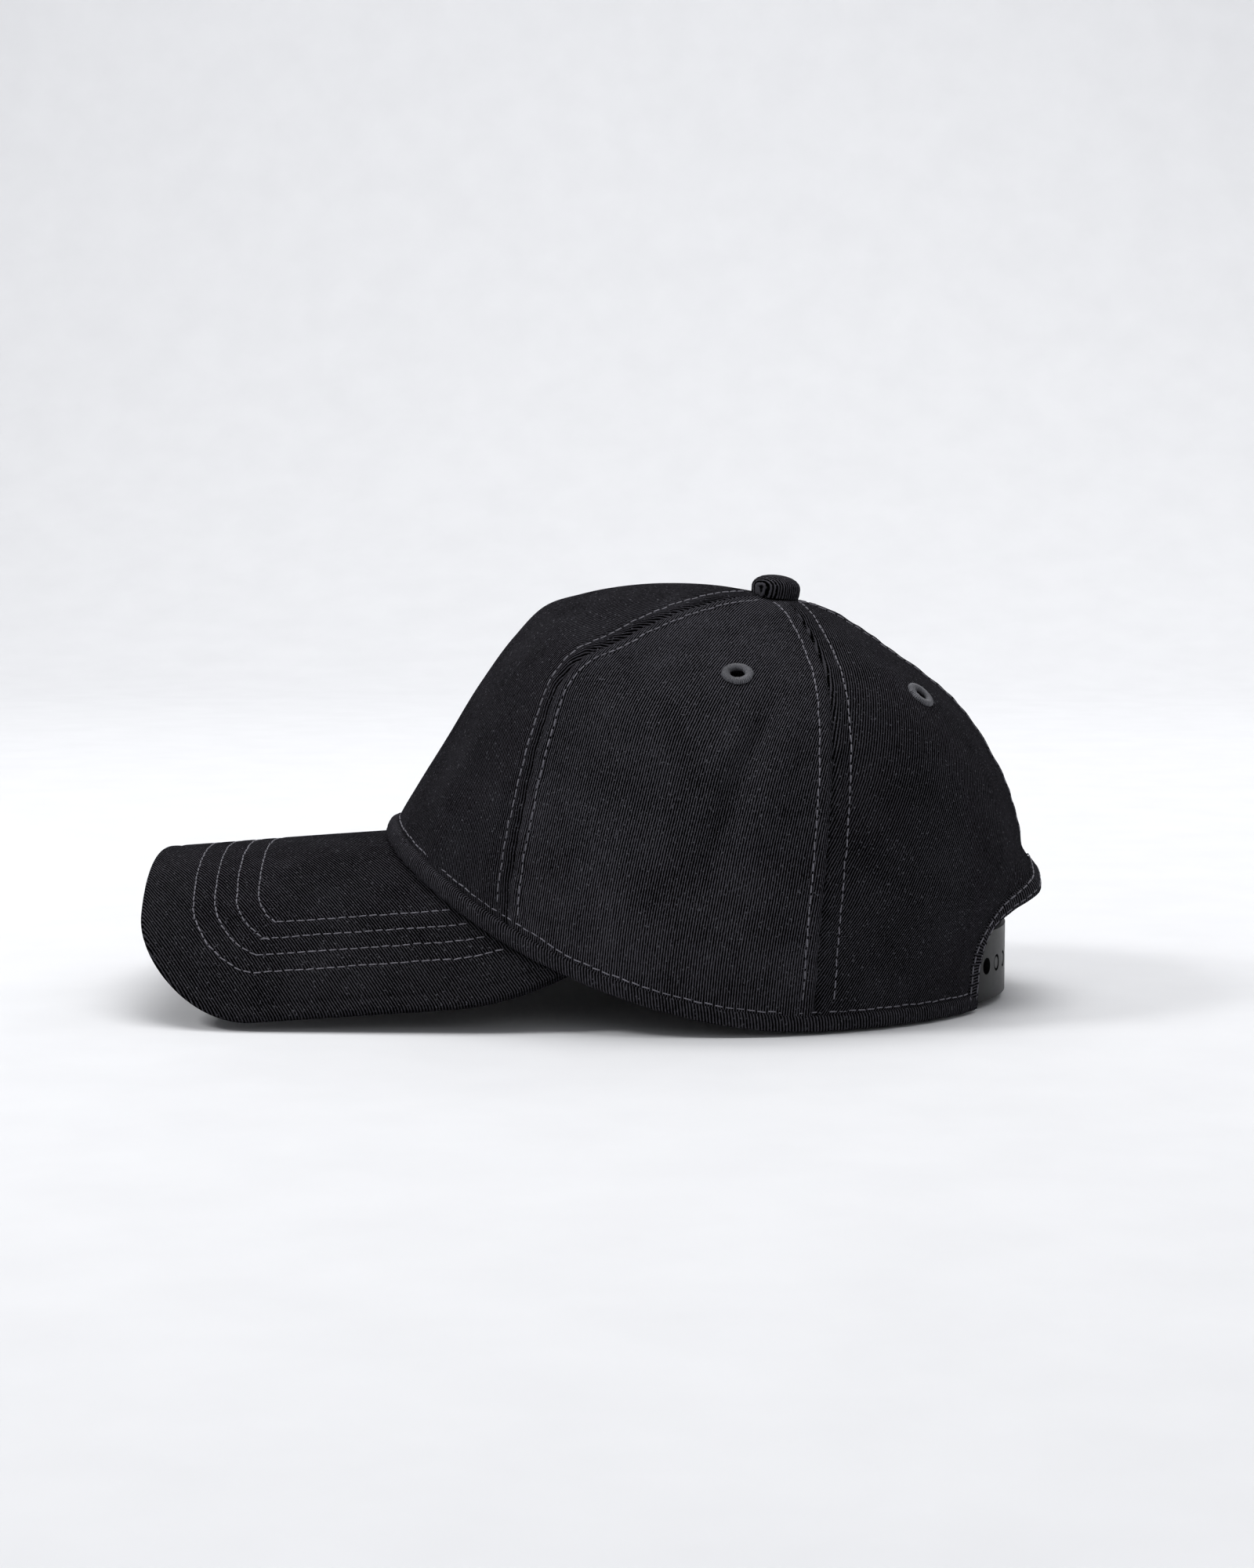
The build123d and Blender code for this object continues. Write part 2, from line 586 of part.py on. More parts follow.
def main():
    os.makedirs("parts", exist_ok=True)
    nodes = {}
    nodes.update(make_panels())
    nodes.update(make_linings())
    nodes["crown_edge_hem"] = make_edge_hem()
    nodes["arch_binding"] = make_arch_binding()
    nodes["sweatband"] = make_sweatband()
    nodes["care_label"] = make_label()
    nodes.update(make_visor())
    nodes.update(make_eyelets())
    nodes.update(make_button())
    nodes.update(make_closure())
    for name, shape in nodes.items():
        export_step(Pos(0, FOOTPRINT_SHIFT_Y, 0) * shape, f"parts/{name}.step")


main()
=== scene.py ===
"""Looks of the baseball cap: cloth shells, hems, topstitching, eyelets, button and studio."""
import math
import bpy
import numpy as np
from mathutils import Matrix, Vector


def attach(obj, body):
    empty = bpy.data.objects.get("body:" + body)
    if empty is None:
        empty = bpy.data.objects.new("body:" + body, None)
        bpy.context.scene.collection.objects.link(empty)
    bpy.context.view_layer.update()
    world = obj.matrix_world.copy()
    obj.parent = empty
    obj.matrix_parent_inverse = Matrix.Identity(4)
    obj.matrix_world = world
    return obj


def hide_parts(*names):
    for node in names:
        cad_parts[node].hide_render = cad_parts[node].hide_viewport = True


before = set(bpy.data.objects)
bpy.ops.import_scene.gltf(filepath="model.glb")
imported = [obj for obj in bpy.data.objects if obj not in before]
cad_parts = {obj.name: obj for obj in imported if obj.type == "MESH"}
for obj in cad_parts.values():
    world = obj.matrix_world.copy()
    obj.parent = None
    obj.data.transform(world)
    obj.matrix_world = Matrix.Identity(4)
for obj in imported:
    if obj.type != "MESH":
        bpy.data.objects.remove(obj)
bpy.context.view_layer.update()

MM = 0.001
SHIFT_Y = -3.2            # the crown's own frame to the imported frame

# Crown, in millimetres, as in the CAD: profiles from the lower edge to the button.
EDGE_X, EDGE_CENTRE_Y, EDGE_LENGTH = 84.0, 32.0, 92.0
REST_ANGLE, VISOR_END_ANGLE = 114.0, 63.0
SHARES = np.array([0.0, 0.12, 0.24, 0.36, 0.46, 0.54, 0.62, 0.72, 0.86, 1.0])
FRONT = [(-60.0, 47.0), (-51.0, 63.0), (-41.5, 78.0), (-31.8, 93.5), (-22.5, 106.5),
         (-13.5, 115.5), (-2.0, 119.2), (13.3, 121.8), (34.7, 122.2), (56.0, 119.0)]
SIDE = [(84.0, 0.0), (84.0, 20.0), (81.5, 39.6), (77.8, 59.0), (73.0, 75.0),
        (67.3, 86.5), (58.0, 97.0), (43.0, 105.0), (20.5, 114.5), (0.0, 119.0)]
REAR = [(124.4, 0.0), (125.6, 18.8), (130.2, 37.2), (127.8, 54.5), (121.7, 70.0),
        (113.5, 83.0), (104.2, 92.7), (91.2, 102.4), (72.4, 114.4), (56.0, 119.0)]
CENTRE_Y = [32.0, 33.0, 34.5, 37.0, 40.0, 42.0, 44.0, 48.0, 52.5, 56.0]
SQUARENESS = [2.0, 2.05, 2.12, 2.18, 2.2, 2.1, 2.05, 2.0, 2.0, 2.0]
HEIGHT_POWER = [1.0, 0.80, 0.62, 0.55, 0.50, 0.80, 1.25, 1.2, 1.2, 1.0]
PROFILES = np.column_stack([FRONT, SIDE, REAR, CENTRE_Y, SQUARENESS, HEIGHT_POWER])
CLOTH_LENGTH = 156.0
BUTTON_Y, BUTTON_Z, BUTTON_TILT = 56.0, 119.7, 6.0
FRONT_SEAM = 42.7
REAR_SEAM_LOW, REAR_SEAM_HIGH = 99.0, 115.0
LIP_FLARE = 7.0
PANEL_LOW, TOP_SHARE = 0.016, 0.976
TWILL = 0.8
ARCH_X, ARCH_SPRING_Z, ARCH_RISE = 36.5, 12.0, 23.5
BINDING_WIDTH, BINDING_LAP = 5.5, 1.0
ARCH_DISTANCE = 68.0      # from the button's axis back to the arch
SEAM_OVERLAP = 0.10       # panels lap over each other by this much, so that no slit shows
TAPE_HALF, TAPE_DEPTHS = 8.0, (-1.15, -1.65)
TAPE_LOW, TAPE_HIGH, CENTRE_TAPE_LOW = 0.051, 0.88, 0.33
STIFFENER_DEPTHS, STIFFENER_HIGH = (-1.5, -2.1), 0.80
BAND_DEPTHS, BAND_HEIGHTS, BAND_END = (-3.4, -4.4), (1.5, 34.5), 146.5
LABEL_DEPTHS, LABEL_HEIGHTS, LABEL_ANGLES = (-4.6, -4.9), (10.5, 28.0), (118.0, 136.0)
EYELET_HOLE_R, RING_R, RING_REACH, RING_HEIGHT = 2.3, 3.35, 1.05, 0.75
RING_THREADS = 46
SIDE_EYELET, REAR_EYELET = (79.5, 0.64), (144.0, 0.60)

# Visor.
VISOR_R, VISOR_TILT = 102.0, 4.5
VISOR_ROOT_Y, VISOR_ROOT_Z = -60.0, 47.0
VISOR_HALF, VISOR_TIP_Y = 82.0, -130.5
VISOR_FRONT_R, VISOR_CORNER_R = 400.0, 38.0
VISOR_SIDE_END_Y, VISOR_ROOT_X, VISOR_ROOT_REACH = -36.0, 76.4, 34.6
VISOR_THICKNESS, VISOR_LINING, VISOR_TUCK = 3.9, 0.55, 1.6
VISOR_OVERRUN = 5.0       # degrees that the covers run past the end of the visor
VISOR_ROWS = (15.4, 21.7, 28.0, 34.4)

STITCH_PITCH, STITCH_LENGTH, THREAD_R, STITCH_LIFT = 3.0, 2.3, 0.23, 0.05
ARCH_ROWS = (1.7, 5.0)    # out from the arch's edge
BAND_ROWS = (5.0, 31.5)   # up the sweatband
SEAM_ROWS = {"front": (-3.6, 3.6), "rear": (-4.0, 5.2), "centre": (-3.8, 3.8)}

rng = np.random.default_rng(7)


# ---- crown surface --------------------------------------------------------------------

def smooth(x):
    x = np.clip(x, 0.0, 1.0)
    return x * x * (3.0 - 2.0 * x)


def visor_height(x, y):
    """Height of the visor's top face."""
    centre = VISOR_ROOT_Z + (y - VISOR_ROOT_Y) * math.tan(math.radians(VISOR_TILT))
    return centre - VISOR_R + np.sqrt(np.maximum(VISOR_R ** 2 - x * x, 0.0))


def edge_plan(angle):
    a = np.radians(angle)
    return EDGE_X * np.sin(a), EDGE_CENTRE_Y - EDGE_LENGTH * np.cos(a)


def edge_height(angle):
    """Height of the crown's lower edge."""
    angle = np.asarray(angle, float)
    span, step = REST_ANGLE - VISOR_END_ANGLE, 0.5
    start = float(visor_height(*edge_plan(VISOR_END_ANGLE)))
    slope = (start - float(visor_height(*edge_plan(VISOR_END_ANGLE - step)))) / step * span
    s = np.clip((angle - VISOR_END_ANGLE) / span, 0.0, 1.0)
    ease = start * (1.0 - s) ** 2 * (1.0 + (2.0 + slope / start) * s)
    return np.where(angle <= VISOR_END_ANGLE, visor_height(*edge_plan(angle)), ease)


def profile_slopes():
    k, v = SHARES, PROFILES
    step = np.diff(k)[:, None]
    rate = np.diff(v, axis=0) / step
    inner = (rate[:-1] * step[1:] + rate[1:] * step[:-1]) / (step[:-1] + step[1:])
    return np.vstack([rate[:1], inner, rate[-1:]])


SLOPES = profile_slopes()


def ring(share):
    """Profile values at each share of the way up."""
    i = np.clip(np.searchsorted(SHARES, share, side="right") - 1, 0, len(SHARES) - 2)
    h = (SHARES[i + 1] - SHARES[i])[..., None]
    s = (share - SHARES[i])[..., None] / h
    return ((2 * s ** 3 - 3 * s ** 2 + 1) * PROFILES[i] + (s ** 3 - 2 * s ** 2 + s) * h * SLOPES[i]
            + (3 * s ** 2 - 2 * s ** 3) * PROFILES[i + 1] + (s ** 3 - s ** 2) * h * SLOPES[i + 1])


def ring_plan(angle, values):
    a = np.radians(angle)
    power = 2.0 / values[..., 7]
    along = np.abs(np.cos(a)) ** power
    front = angle < 90.0
    reach = np.where(front, values[..., 6] - values[..., 0], values[..., 4] - values[..., 6])
    y = values[..., 6] + np.where(front, -reach, reach) * along
    return values[..., 2] * np.maximum(np.sin(a), 0.0) ** power, y


def ring_angle(azimuth, values):
    low, high = np.zeros_like(azimuth), np.full_like(azimuth, 180.0)
    for _ in range(34):
        middle = 0.5 * (low + high)
        x, y = ring_plan(middle, values)
        short = np.degrees(np.arctan2(x, BUTTON_Y - y)) < azimuth
        low, high = np.where(short, middle, low), np.where(short, high, middle)
    return 0.5 * (low + high)


def crown(azimuth, share):
    """Points of the crown's outer surface in mm, crown frame."""
    azimuth, share = np.broadcast_arrays(np.asarray(azimuth, float), np.asarray(share, float))
    sign = np.where(azimuth < 0.0, -1.0, 1.0)
    turned = np.abs(azimuth)
    sign = np.where(turned > 180.0, -sign, sign)
    turned = np.where(turned > 180.0, 360.0 - turned, turned)
    values = ring(np.maximum(share, 0.0))
    angle = ring_angle(turned, values)
    x, y = ring_plan(angle, values)
    fore = np.where(angle < 98.0, np.cos(np.radians(90.0 * angle / 98.0)) ** 2, 0.0)
    aft = np.where(angle > 82.0, np.cos(np.radians(90.0 * (180.0 - angle) / 98.0)) ** 2, 0.0)
    z = values[..., 3] + (values[..., 1] - values[..., 3]) * fore ** values[..., 8]
    z = z + (values[..., 5] - values[..., 3]) * aft
    z = z + (1.0 - smooth(share / 0.24)) * (edge_height(angle) - FRONT[0][1] * fore)
    y = y + LIP_FLARE * smooth((45.0 - z) / 14.0) * smooth((34.0 - x) / 17.0) * smooth((y - 100.0) / 8.0)
    return np.stack([sign * x, y, z], axis=-1)


def unit(v):
    return v / np.maximum(np.linalg.norm(v, axis=-1, keepdims=True), 1e-12)


def crown_normal(azimuth, share):
    da, ds = 0.4, 0.004
    along = crown(azimuth + da, share) - crown(azimuth - da, share)
    up = crown(azimuth, share + ds) - crown(azimuth, np.maximum(share - ds, 0.0))
    return unit(np.cross(along, up))


def rear_seam(share):
    return REAR_SEAM_LOW + (REAR_SEAM_HIGH - REAR_SEAM_LOW) * np.asarray(share) ** 1.5


def front_seam(share):
    return FRONT_SEAM + 0.0 * np.asarray(share)


def centre_seam(share):
    return 180.0 + 0.0 * np.asarray(share)


SEAMS = {"front": front_seam, "rear": rear_seam, "centre": centre_seam}


def beside(seam, share, offset, side=1):
    """Azimuth that runs offset mm beside a seam. side -1 is the wearer's right."""
    angle = SEAMS[seam](share)
    p = crown(angle, share)
    return side * (angle + np.degrees(offset / np.hypot(p[..., 0], p[..., 1] - BUTTON_Y)))


def place(points):
    """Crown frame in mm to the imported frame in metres."""
    return (np.asarray(points) + np.array([0.0, SHIFT_Y, 0.0])) * MM


# ---- meshes ---------------------------------------------------------------------------

def new_object(name, vertices, faces, uvs=None):
    mesh = bpy.data.meshes.new(name)
    mesh.from_pydata([tuple(v) for v in vertices], [], faces)
    if uvs is not None:
        layer = mesh.uv_layers.new(name="Cloth")
        index = np.zeros(len(mesh.loops), dtype=np.int32)
        mesh.loops.foreach_get("vertex_index", index)
        layer.data.foreach_set("uv", np.asarray(uvs, dtype=np.float32)[index].ravel())
    mesh.polygons.foreach_set("use_smooth", [True] * len(mesh.polygons))
    mesh.update()
    obj = bpy.data.objects.new(name, mesh)
    bpy.context.collection.objects.link(obj)
    return obj


def grid_faces(rows, columns, start=0, flip=False, wrap=False):
    i, j = np.meshgrid(np.arange(rows - 1), np.arange(columns if wrap else columns - 1), indexing="ij")
    after = (j + 1) % columns
    a, b = start + i * columns + j, start + i * columns + after
    c, d = start + (i + 1) * columns + after, start + (i + 1) * columns + j
    quads = np.stack([a, d, c, b] if flip else [a, b, c, d], axis=-1).reshape(-1, 4)
    return quads.tolist()


def cloth_uv(points):
    """Distances along and up a grid of points, in metres."""
    up = np.zeros(points.shape[:2])
    up[1:] = np.cumsum(np.linalg.norm(np.diff(points, axis=0), axis=2), axis=0)
    width = np.zeros(points.shape[:2])
    width[:, 1:] = np.cumsum(np.linalg.norm(np.diff(points, axis=1), axis=2), axis=1)
    width -= width[:, -1:] / 2
    return np.stack([width, up], axis=-1) * MM


def shell(name, outer, inner, flat=None):
    """Closed piece of cloth between two grids of points, rows going up, columns going round."""
    rows, columns = outer.shape[:2]
    count = rows * columns
    faces = grid_faces(rows, columns) + grid_faces(rows, columns, count, flip=True)
    edge = list(range(columns)) + [i * columns + columns - 1 for i in range(1, rows)]
    edge += [(rows - 1) * columns + j for j in range(columns - 2, -1, -1)]
    edge += [i * columns for i in range(rows - 2, 0, -1)]
    for a, b in zip(edge, edge[1:] + edge[:1]):
        faces.append([b, a, a + count, b + count])
    uv = (cloth_uv(outer) if flat is None else flat).reshape(-1, 2)
    points = place(np.concatenate([outer.reshape(-1, 3), inner.reshape(-1, 3)]))
    return new_object(name, points, faces, np.concatenate([uv, uv]))


def tube(name, centres, sides, ups, half_width, half_height, around=20, squareness=2.6):
    """Rolled hem: a flattened tube along a path, closed at both ends."""
    n = len(centres)
    a = np.linspace(0.0, 2.0 * math.pi, around, endpoint=False)
    w = np.sign(np.cos(a)) * np.abs(np.cos(a)) ** (2.0 / squareness)
    h = np.sign(np.sin(a)) * np.abs(np.sin(a)) ** (2.0 / squareness)
    half_width = np.broadcast_to(half_width, (n,))[:, None, None]
    half_height = np.broadcast_to(half_height, (n,))[:, None, None]
    ring_points = (centres[:, None] + sides[:, None] * (w[None, :, None] * half_width)
                   + ups[:, None] * (h[None, :, None] * half_height))
    run = np.concatenate([[0.0], np.cumsum(np.linalg.norm(np.diff(centres, axis=0), axis=1))]) * MM
    girth = np.diff(ring_points[0], axis=0, append=ring_points[0][:1])
    turn = np.cumsum(np.linalg.norm(girth, axis=1)) * MM
    uv = np.stack(np.meshgrid(run, turn, indexing="ij"), axis=-1).reshape(-1, 2)
    faces = grid_faces(n, around, wrap=True)
    faces += [list(range(around))[::-1], [(n - 1) * around + k for k in range(around)]]
    return new_object(name, place(ring_points.reshape(-1, 3)), faces, uv)


def bake(obj):
    """Applies an object's modifiers."""
    graph = bpy.context.evaluated_depsgraph_get()
    mesh = bpy.data.meshes.new_from_object(obj.evaluated_get(graph))
    obj.modifiers.clear()
    obj.data = mesh
    return obj


def cut_away(obj, cutters):
    for cutter in cutters:
        modifier = obj.modifiers.new("cut", "BOOLEAN")
        modifier.operation = "DIFFERENCE"
        modifier.solver = "EXACT"
        modifier.object = cutter
    bake(obj)
    for cutter in cutters:
        bpy.data.objects.remove(cutter)
    obj.data.polygons.foreach_set("use_smooth", [True] * len(obj.data.polygons))
    return obj


def finish_piece(obj, material, nodes):
    """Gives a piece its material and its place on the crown's body."""
    obj.data.materials.clear()
    obj.data.materials.append(material)
    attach(obj, "crown")
    if nodes:
        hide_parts(*nodes)
    return obj


# ---- materials ------------------------------------------------------------------------

class Nodes:
    """Short names for building one material's node tree."""

    def __init__(self, name):
        self.material = bpy.data.materials.new(name)
        self.material.use_nodes = True
        self.tree = self.material.node_tree
        self.surface = self.tree.nodes["Principled BSDF"]
        self.object_space = self.tree.nodes.new("ShaderNodeTexCoord").outputs["Object"]

    def cloth(self):
        """Distances along and up the cloth, in metres."""
        node = self.tree.nodes.new("ShaderNodeUVMap")
        node.uv_map = "Cloth"
        return node.outputs[0]

    def link(self, a, b):
        self.tree.links.new(a, b)

    def math(self, kind, a, b=None):
        node = self.tree.nodes.new("ShaderNodeMath")
        node.operation = kind
        for socket, value in zip(node.inputs, (a, b)):
            if value is None:
                continue
            if isinstance(value, (int, float)):
                socket.default_value = value
            else:
                self.link(value, socket)
        return node.outputs[0]

    def noise(self, vector, scale, detail=2.0, rough=0.5):
        node = self.tree.nodes.new("ShaderNodeTexNoise")
        node.inputs["Scale"].default_value = scale
        node.inputs["Detail"].default_value = detail
        node.inputs["Roughness"].default_value = rough
        self.link(vector, node.inputs["Vector"])
        return node.outputs["Fac"]

    def turned(self, vector, degrees, stretch=(1.0, 1.0, 1.0)):
        node = self.tree.nodes.new("ShaderNodeMapping")
        node.inputs["Rotation"].default_value = (0.0, 0.0, math.radians(degrees))
        node.inputs["Scale"].default_value = stretch
        self.link(vector, node.inputs["Vector"])
        return node.outputs[0]

    def ramp(self, factor, stops):
        node = self.tree.nodes.new("ShaderNodeValToRGB")
        ramp = node.color_ramp
        while len(ramp.elements) < len(stops):
            ramp.elements.new(0.5)
        for element, (at, colour) in zip(ramp.elements, stops):
            element.position = at
            element.color = (*colour, 1.0)
        self.link(factor, node.inputs["Fac"])
        return node.outputs["Color"]

    def bump(self, height, distance, strength=1.0, below=None):
        node = self.tree.nodes.new("ShaderNodeBump")
        node.inputs["Distance"].default_value = distance
        node.inputs["Strength"].default_value = strength
        self.link(height, node.inputs["Height"])
        if below is not None:
            self.link(below, node.inputs["Normal"])
        return node.outputs["Normal"]


def shade(level, tint=(1.0, 0.97, 1.12)):
    return tuple(level * t for t in tint)


def twill_material(name, wale_angle, dark=0.0006, middle=0.0055, light=0.066, wale=0.00075):
    """Black cotton twill: slanted wales, yarn slubs, ridges paler in colour and a little lint."""
    n = Nodes(name)
    uv = n.cloth()
    warp = n.noise(uv, 900.0, 2.0)
    slanted = n.turned(uv, wale_angle)
    split = n.tree.nodes.new("ShaderNodeSeparateXYZ")
    n.link(slanted, split.inputs[0])
    across = n.math("ADD", split.outputs[0], n.math("MULTIPLY", warp, 0.00022))
    wave = n.math("SINE", n.math("MULTIPLY", across, 2.0 * math.pi / wale))
    rib = n.math("ADD", n.math("MULTIPLY", wave, 0.5), 0.5)
    yarn = n.noise(n.turned(uv, wale_angle, (3600.0, 900.0, 1.0)), 1.0, 2.0)
    blotch = n.noise(n.object_space, 60.0, 3.0, 0.6)
    soft = n.noise(n.object_space, 1150.0, 3.0, 0.7)
    tone = n.math("MULTIPLY", rib, 0.50)
    tone = n.math("ADD", tone, n.math("MULTIPLY", yarn, 0.34))
    tone = n.math("ADD", tone, n.math("MULTIPLY", blotch, 0.34))
    tone = n.math("ADD", tone, n.math("MULTIPLY", soft, 0.62))
    tone = n.math("SUBTRACT", tone, 0.37)
    colour = n.ramp(tone, [(0.38, shade(dark)), (0.51, shade(middle)), (0.68, shade(light))])
    lint = n.noise(n.object_space, 1500.0, 0.0)
    speck = n.math("GREATER_THAN", lint, 0.76)
    mix = n.tree.nodes.new("ShaderNodeMix")
    mix.data_type = "RGBA"
    n.link(n.math("MULTIPLY", speck, 0.35), mix.inputs[0])
    n.link(colour, mix.inputs[6])
    mix.inputs[7].default_value = (0.16, 0.16, 0.18, 1.0)
    n.link(mix.outputs[2], n.surface.inputs["Base Color"])
    height = n.math("ADD", n.math("MULTIPLY", rib, 0.7), n.math("MULTIPLY", yarn, 0.6))
    low = n.bump(soft, 0.0006, 0.35)
    n.link(n.bump(height, 0.0003, 1.0, low), n.surface.inputs["Normal"])
    n.link(n.math("ADD", n.math("MULTIPLY", tone, -0.12), 0.95), n.surface.inputs["Roughness"])
    n.surface.inputs["Specular IOR Level"].default_value = 0.0
    return n.material


def thread_material(name, dark, light):
    """Twisted thread: fine streaks over a plain colour."""
    n = Nodes(name)
    streak = n.noise(n.object_space, 2600.0, 3.0, 0.7)
    broad = n.noise(n.object_space, 90.0, 2.0)
    tone = n.math("ADD", n.math("MULTIPLY", streak, 0.6), n.math("MULTIPLY", broad, 0.4))
    n.link(n.ramp(tone, [(0.3, dark), (0.7, light)]), n.surface.inputs["Base Color"])
    n.link(n.bump(streak, 0.0001, 0.7), n.surface.inputs["Normal"])
    n.link(n.math("ADD", n.math("MULTIPLY", tone, -0.15), 0.7), n.surface.inputs["Roughness"])
    n.surface.inputs["Specular IOR Level"].default_value = 0.35
    return n.material


def woven_material(name, dark, light, cell, bump=0.0002):
    """Plain weave of warp and weft, for tape, buckram, lining and label."""
    n = Nodes(name)
    split = n.tree.nodes.new("ShaderNodeSeparateXYZ")
    n.link(n.cloth(), split.inputs[0])
    along = n.math("SINE", n.math("MULTIPLY", split.outputs[0], 2.0 * math.pi / cell))
    across = n.math("SINE", n.math("MULTIPLY", split.outputs[1], 2.0 * math.pi / cell))
    weave = n.math("ADD", n.math("MULTIPLY", n.math("MULTIPLY", along, across), 0.5), 0.5)
    slub = n.noise(n.object_space, 700.0, 3.0, 0.6)
    tone = n.math("ADD", n.math("MULTIPLY", weave, 0.55), n.math("MULTIPLY", slub, 0.45))
    n.link(n.ramp(tone, [(0.2, dark), (0.8, light)]), n.surface.inputs["Base Color"])
    n.link(n.bump(tone, bump, 0.8), n.surface.inputs["Normal"])
    n.link(n.math("ADD", n.math("MULTIPLY", slub, -0.2), 0.9), n.surface.inputs["Roughness"])
    n.surface.inputs["Specular IOR Level"].default_value = 0.2
    return n.material


def hard_material(name, dark, light, rough, metal=0.0):
    """Moulded plastic or pressed metal, with faint mottling, scuffs and handling marks."""
    n = Nodes(name)
    mottle = n.noise(n.object_space, 45.0, 4.0, 0.6)
    scuff = n.noise(n.turned(n.object_space, 20.0, (300.0, 40.0, 900.0)), 1.0, 3.0)
    tone = n.math("ADD", n.math("MULTIPLY", mottle, 0.7), n.math("MULTIPLY", scuff, 0.3))
    n.link(n.ramp(tone, [(0.3, dark), (0.75, light)]), n.surface.inputs["Base Color"])
    n.link(n.math("ADD", n.math("MULTIPLY", tone, 0.22), rough - 0.1), n.surface.inputs["Roughness"])
    n.link(n.bump(scuff, 0.00003, 0.5), n.surface.inputs["Normal"])
    n.surface.inputs["Metallic"].default_value = metal
    n.surface.inputs["Specular IOR Level"].default_value = 0.5 if metal else 0.2
    return n.material


SIDE_TWILL = twill_material("twill_side", 4.0)
# The front, rear and visor copies of this one black twill get darker middle and light tones than the side
# copy: painted shade.
FRONT_TWILL_PAINTED_SHADE = twill_material("twill_front_painted_shade", -20.0, middle=0.0040, light=0.044)
REAR_TWILL_PAINTED_SHADE = twill_material("twill_rear_painted_shade", 32.0, middle=0.0040, light=0.044)
VISOR_TWILL_PAINTED_SHADE = twill_material("twill_visor_painted_shade", 58.0, middle=0.0026, light=0.040)
UNDER_TWILL = twill_material("twill_under", 58.0, dark=0.001, middle=0.006, light=0.026)
HEM_TWILL = twill_material("twill_hem", 6.0, dark=0.0015, middle=0.010, light=0.055, wale=0.0009)
BUTTON_TWILL = twill_material("twill_button", 40.0, wale=0.0007)
# The black topstitch thread is given mid-grey tones: painted sheen.
BLACK_THREAD_PAINTED_SHEEN = thread_material("topstitch_thread_painted_sheen", shade(0.06), shade(0.22))
GREY_THREAD = thread_material("eyelet_thread", (0.016, 0.017, 0.020), (0.19, 0.19, 0.21))
SWEAT_CLOTH = woven_material("sweatband_cotton", (0.006, 0.006, 0.008), (0.032, 0.032, 0.037), 0.0009)
TAPE_CLOTH = woven_material("seam_tape_weave", (0.007, 0.007, 0.009), (0.040, 0.040, 0.046), 0.0007)
BUCKRAM = woven_material("buckram_weave", (0.20, 0.19, 0.16), (0.56, 0.54, 0.48), 0.0016, bump=0.0004)
LABEL_CLOTH = woven_material("label_weave", (0.42, 0.42, 0.40), (0.66, 0.66, 0.63), 0.0005)
STRAP_PLASTIC = hard_material("strap_plastic", (0.0025, 0.003, 0.003), (0.006, 0.0065, 0.0065), 0.42)
BOARD_PLASTIC = hard_material("visor_plastic", (0.62, 0.62, 0.61), (0.80, 0.80, 0.79), 0.5)
BUTTON_METAL = hard_material("button_metal", (0.42, 0.42, 0.44), (0.66, 0.66, 0.68), 0.38, metal=1.0)


# ---- stitches -------------------------------------------------------------------------

def capsule(length, radius, around=6, rings=3):
    """Points and faces of one stitch along X, sunk at both ends."""
    angles = np.linspace(0, 2 * math.pi, around, endpoint=False)
    turns = [math.pi / 2 * (k + 0.35) / rings for k in range(rings)]
    sections = [(end * (length / 2 - radius + radius * math.cos(t)), radius * math.sin(t))
                for end in (-1, 1) for t in turns]
    sections.sort()
    flat = np.array([(x, r * math.cos(a), r * math.sin(a)) for x, r in sections for a in angles])
    flat[:, 2] -= 0.7 * radius * (2.0 * flat[:, 0] / length) ** 2
    last = (len(sections) - 1) * around
    faces = grid_faces(len(sections), around, wrap=True)
    faces += [list(range(around))[::-1], [last + k for k in range(around)]]
    return flat, faces


def stitch_row(path, normals):
    """Stitches evenly along a path in mm. Returns their points and faces."""
    run = np.concatenate([[0.0], np.cumsum(np.linalg.norm(np.diff(path, axis=0), axis=1))])
    count = max(int(run[-1] / STITCH_PITCH), 1)
    spots = (np.arange(count) + 0.5) * run[-1] / count
    at = np.stack([np.interp(spots, run, path[:, k]) for k in range(3)], axis=1)
    up = unit(np.stack([np.interp(spots, run, normals[:, k]) for k in range(3)], axis=1))
    ahead = np.stack([np.interp(spots + 0.5, run, path[:, k]) - np.interp(spots - 0.5, run, path[:, k])
                      for k in range(3)], axis=1)
    ahead = unit(ahead - up * np.sum(ahead * up, axis=1, keepdims=True))
    over = np.cross(up, ahead)
    template, faces = capsule(STITCH_LENGTH, THREAD_R)
    skew = rng.normal(0.0, 0.05, count)[:, None]
    ahead, over = unit(ahead + over * skew), unit(over - ahead * skew)
    stretch = 1.0 + rng.normal(0.0, 0.05, count)[:, None, None]
    at = at + up * STITCH_LIFT + over * rng.normal(0.0, 0.08, count)[:, None]
    points = (at[:, None] + ahead[:, None] * template[None, :, :1] * stretch
              + over[:, None] * template[None, :, 1:2] + up[:, None] * template[None, :, 2:3])
    return points.reshape(-1, 3), faces, count, len(template)


def stitches(name, rows):
    """One object holding several rows of stitches. rows is a list of (path, normals)."""
    points, faces, base = [], [], 0
    for path, normals in rows:
        row_points, row_faces, count, size = stitch_row(path, normals)
        points.append(row_points)
        for k in range(count):
            faces += [[i + base + k * size for i in face] for face in row_faces]
        base += count * size
    points = place(np.concatenate(points))
    obj = new_object(name, points, faces, points[:, :2])
    finish_piece(obj, BLACK_THREAD_PAINTED_SHEEN, ())


# ---- crown panels ---------------------------------------------------------------------

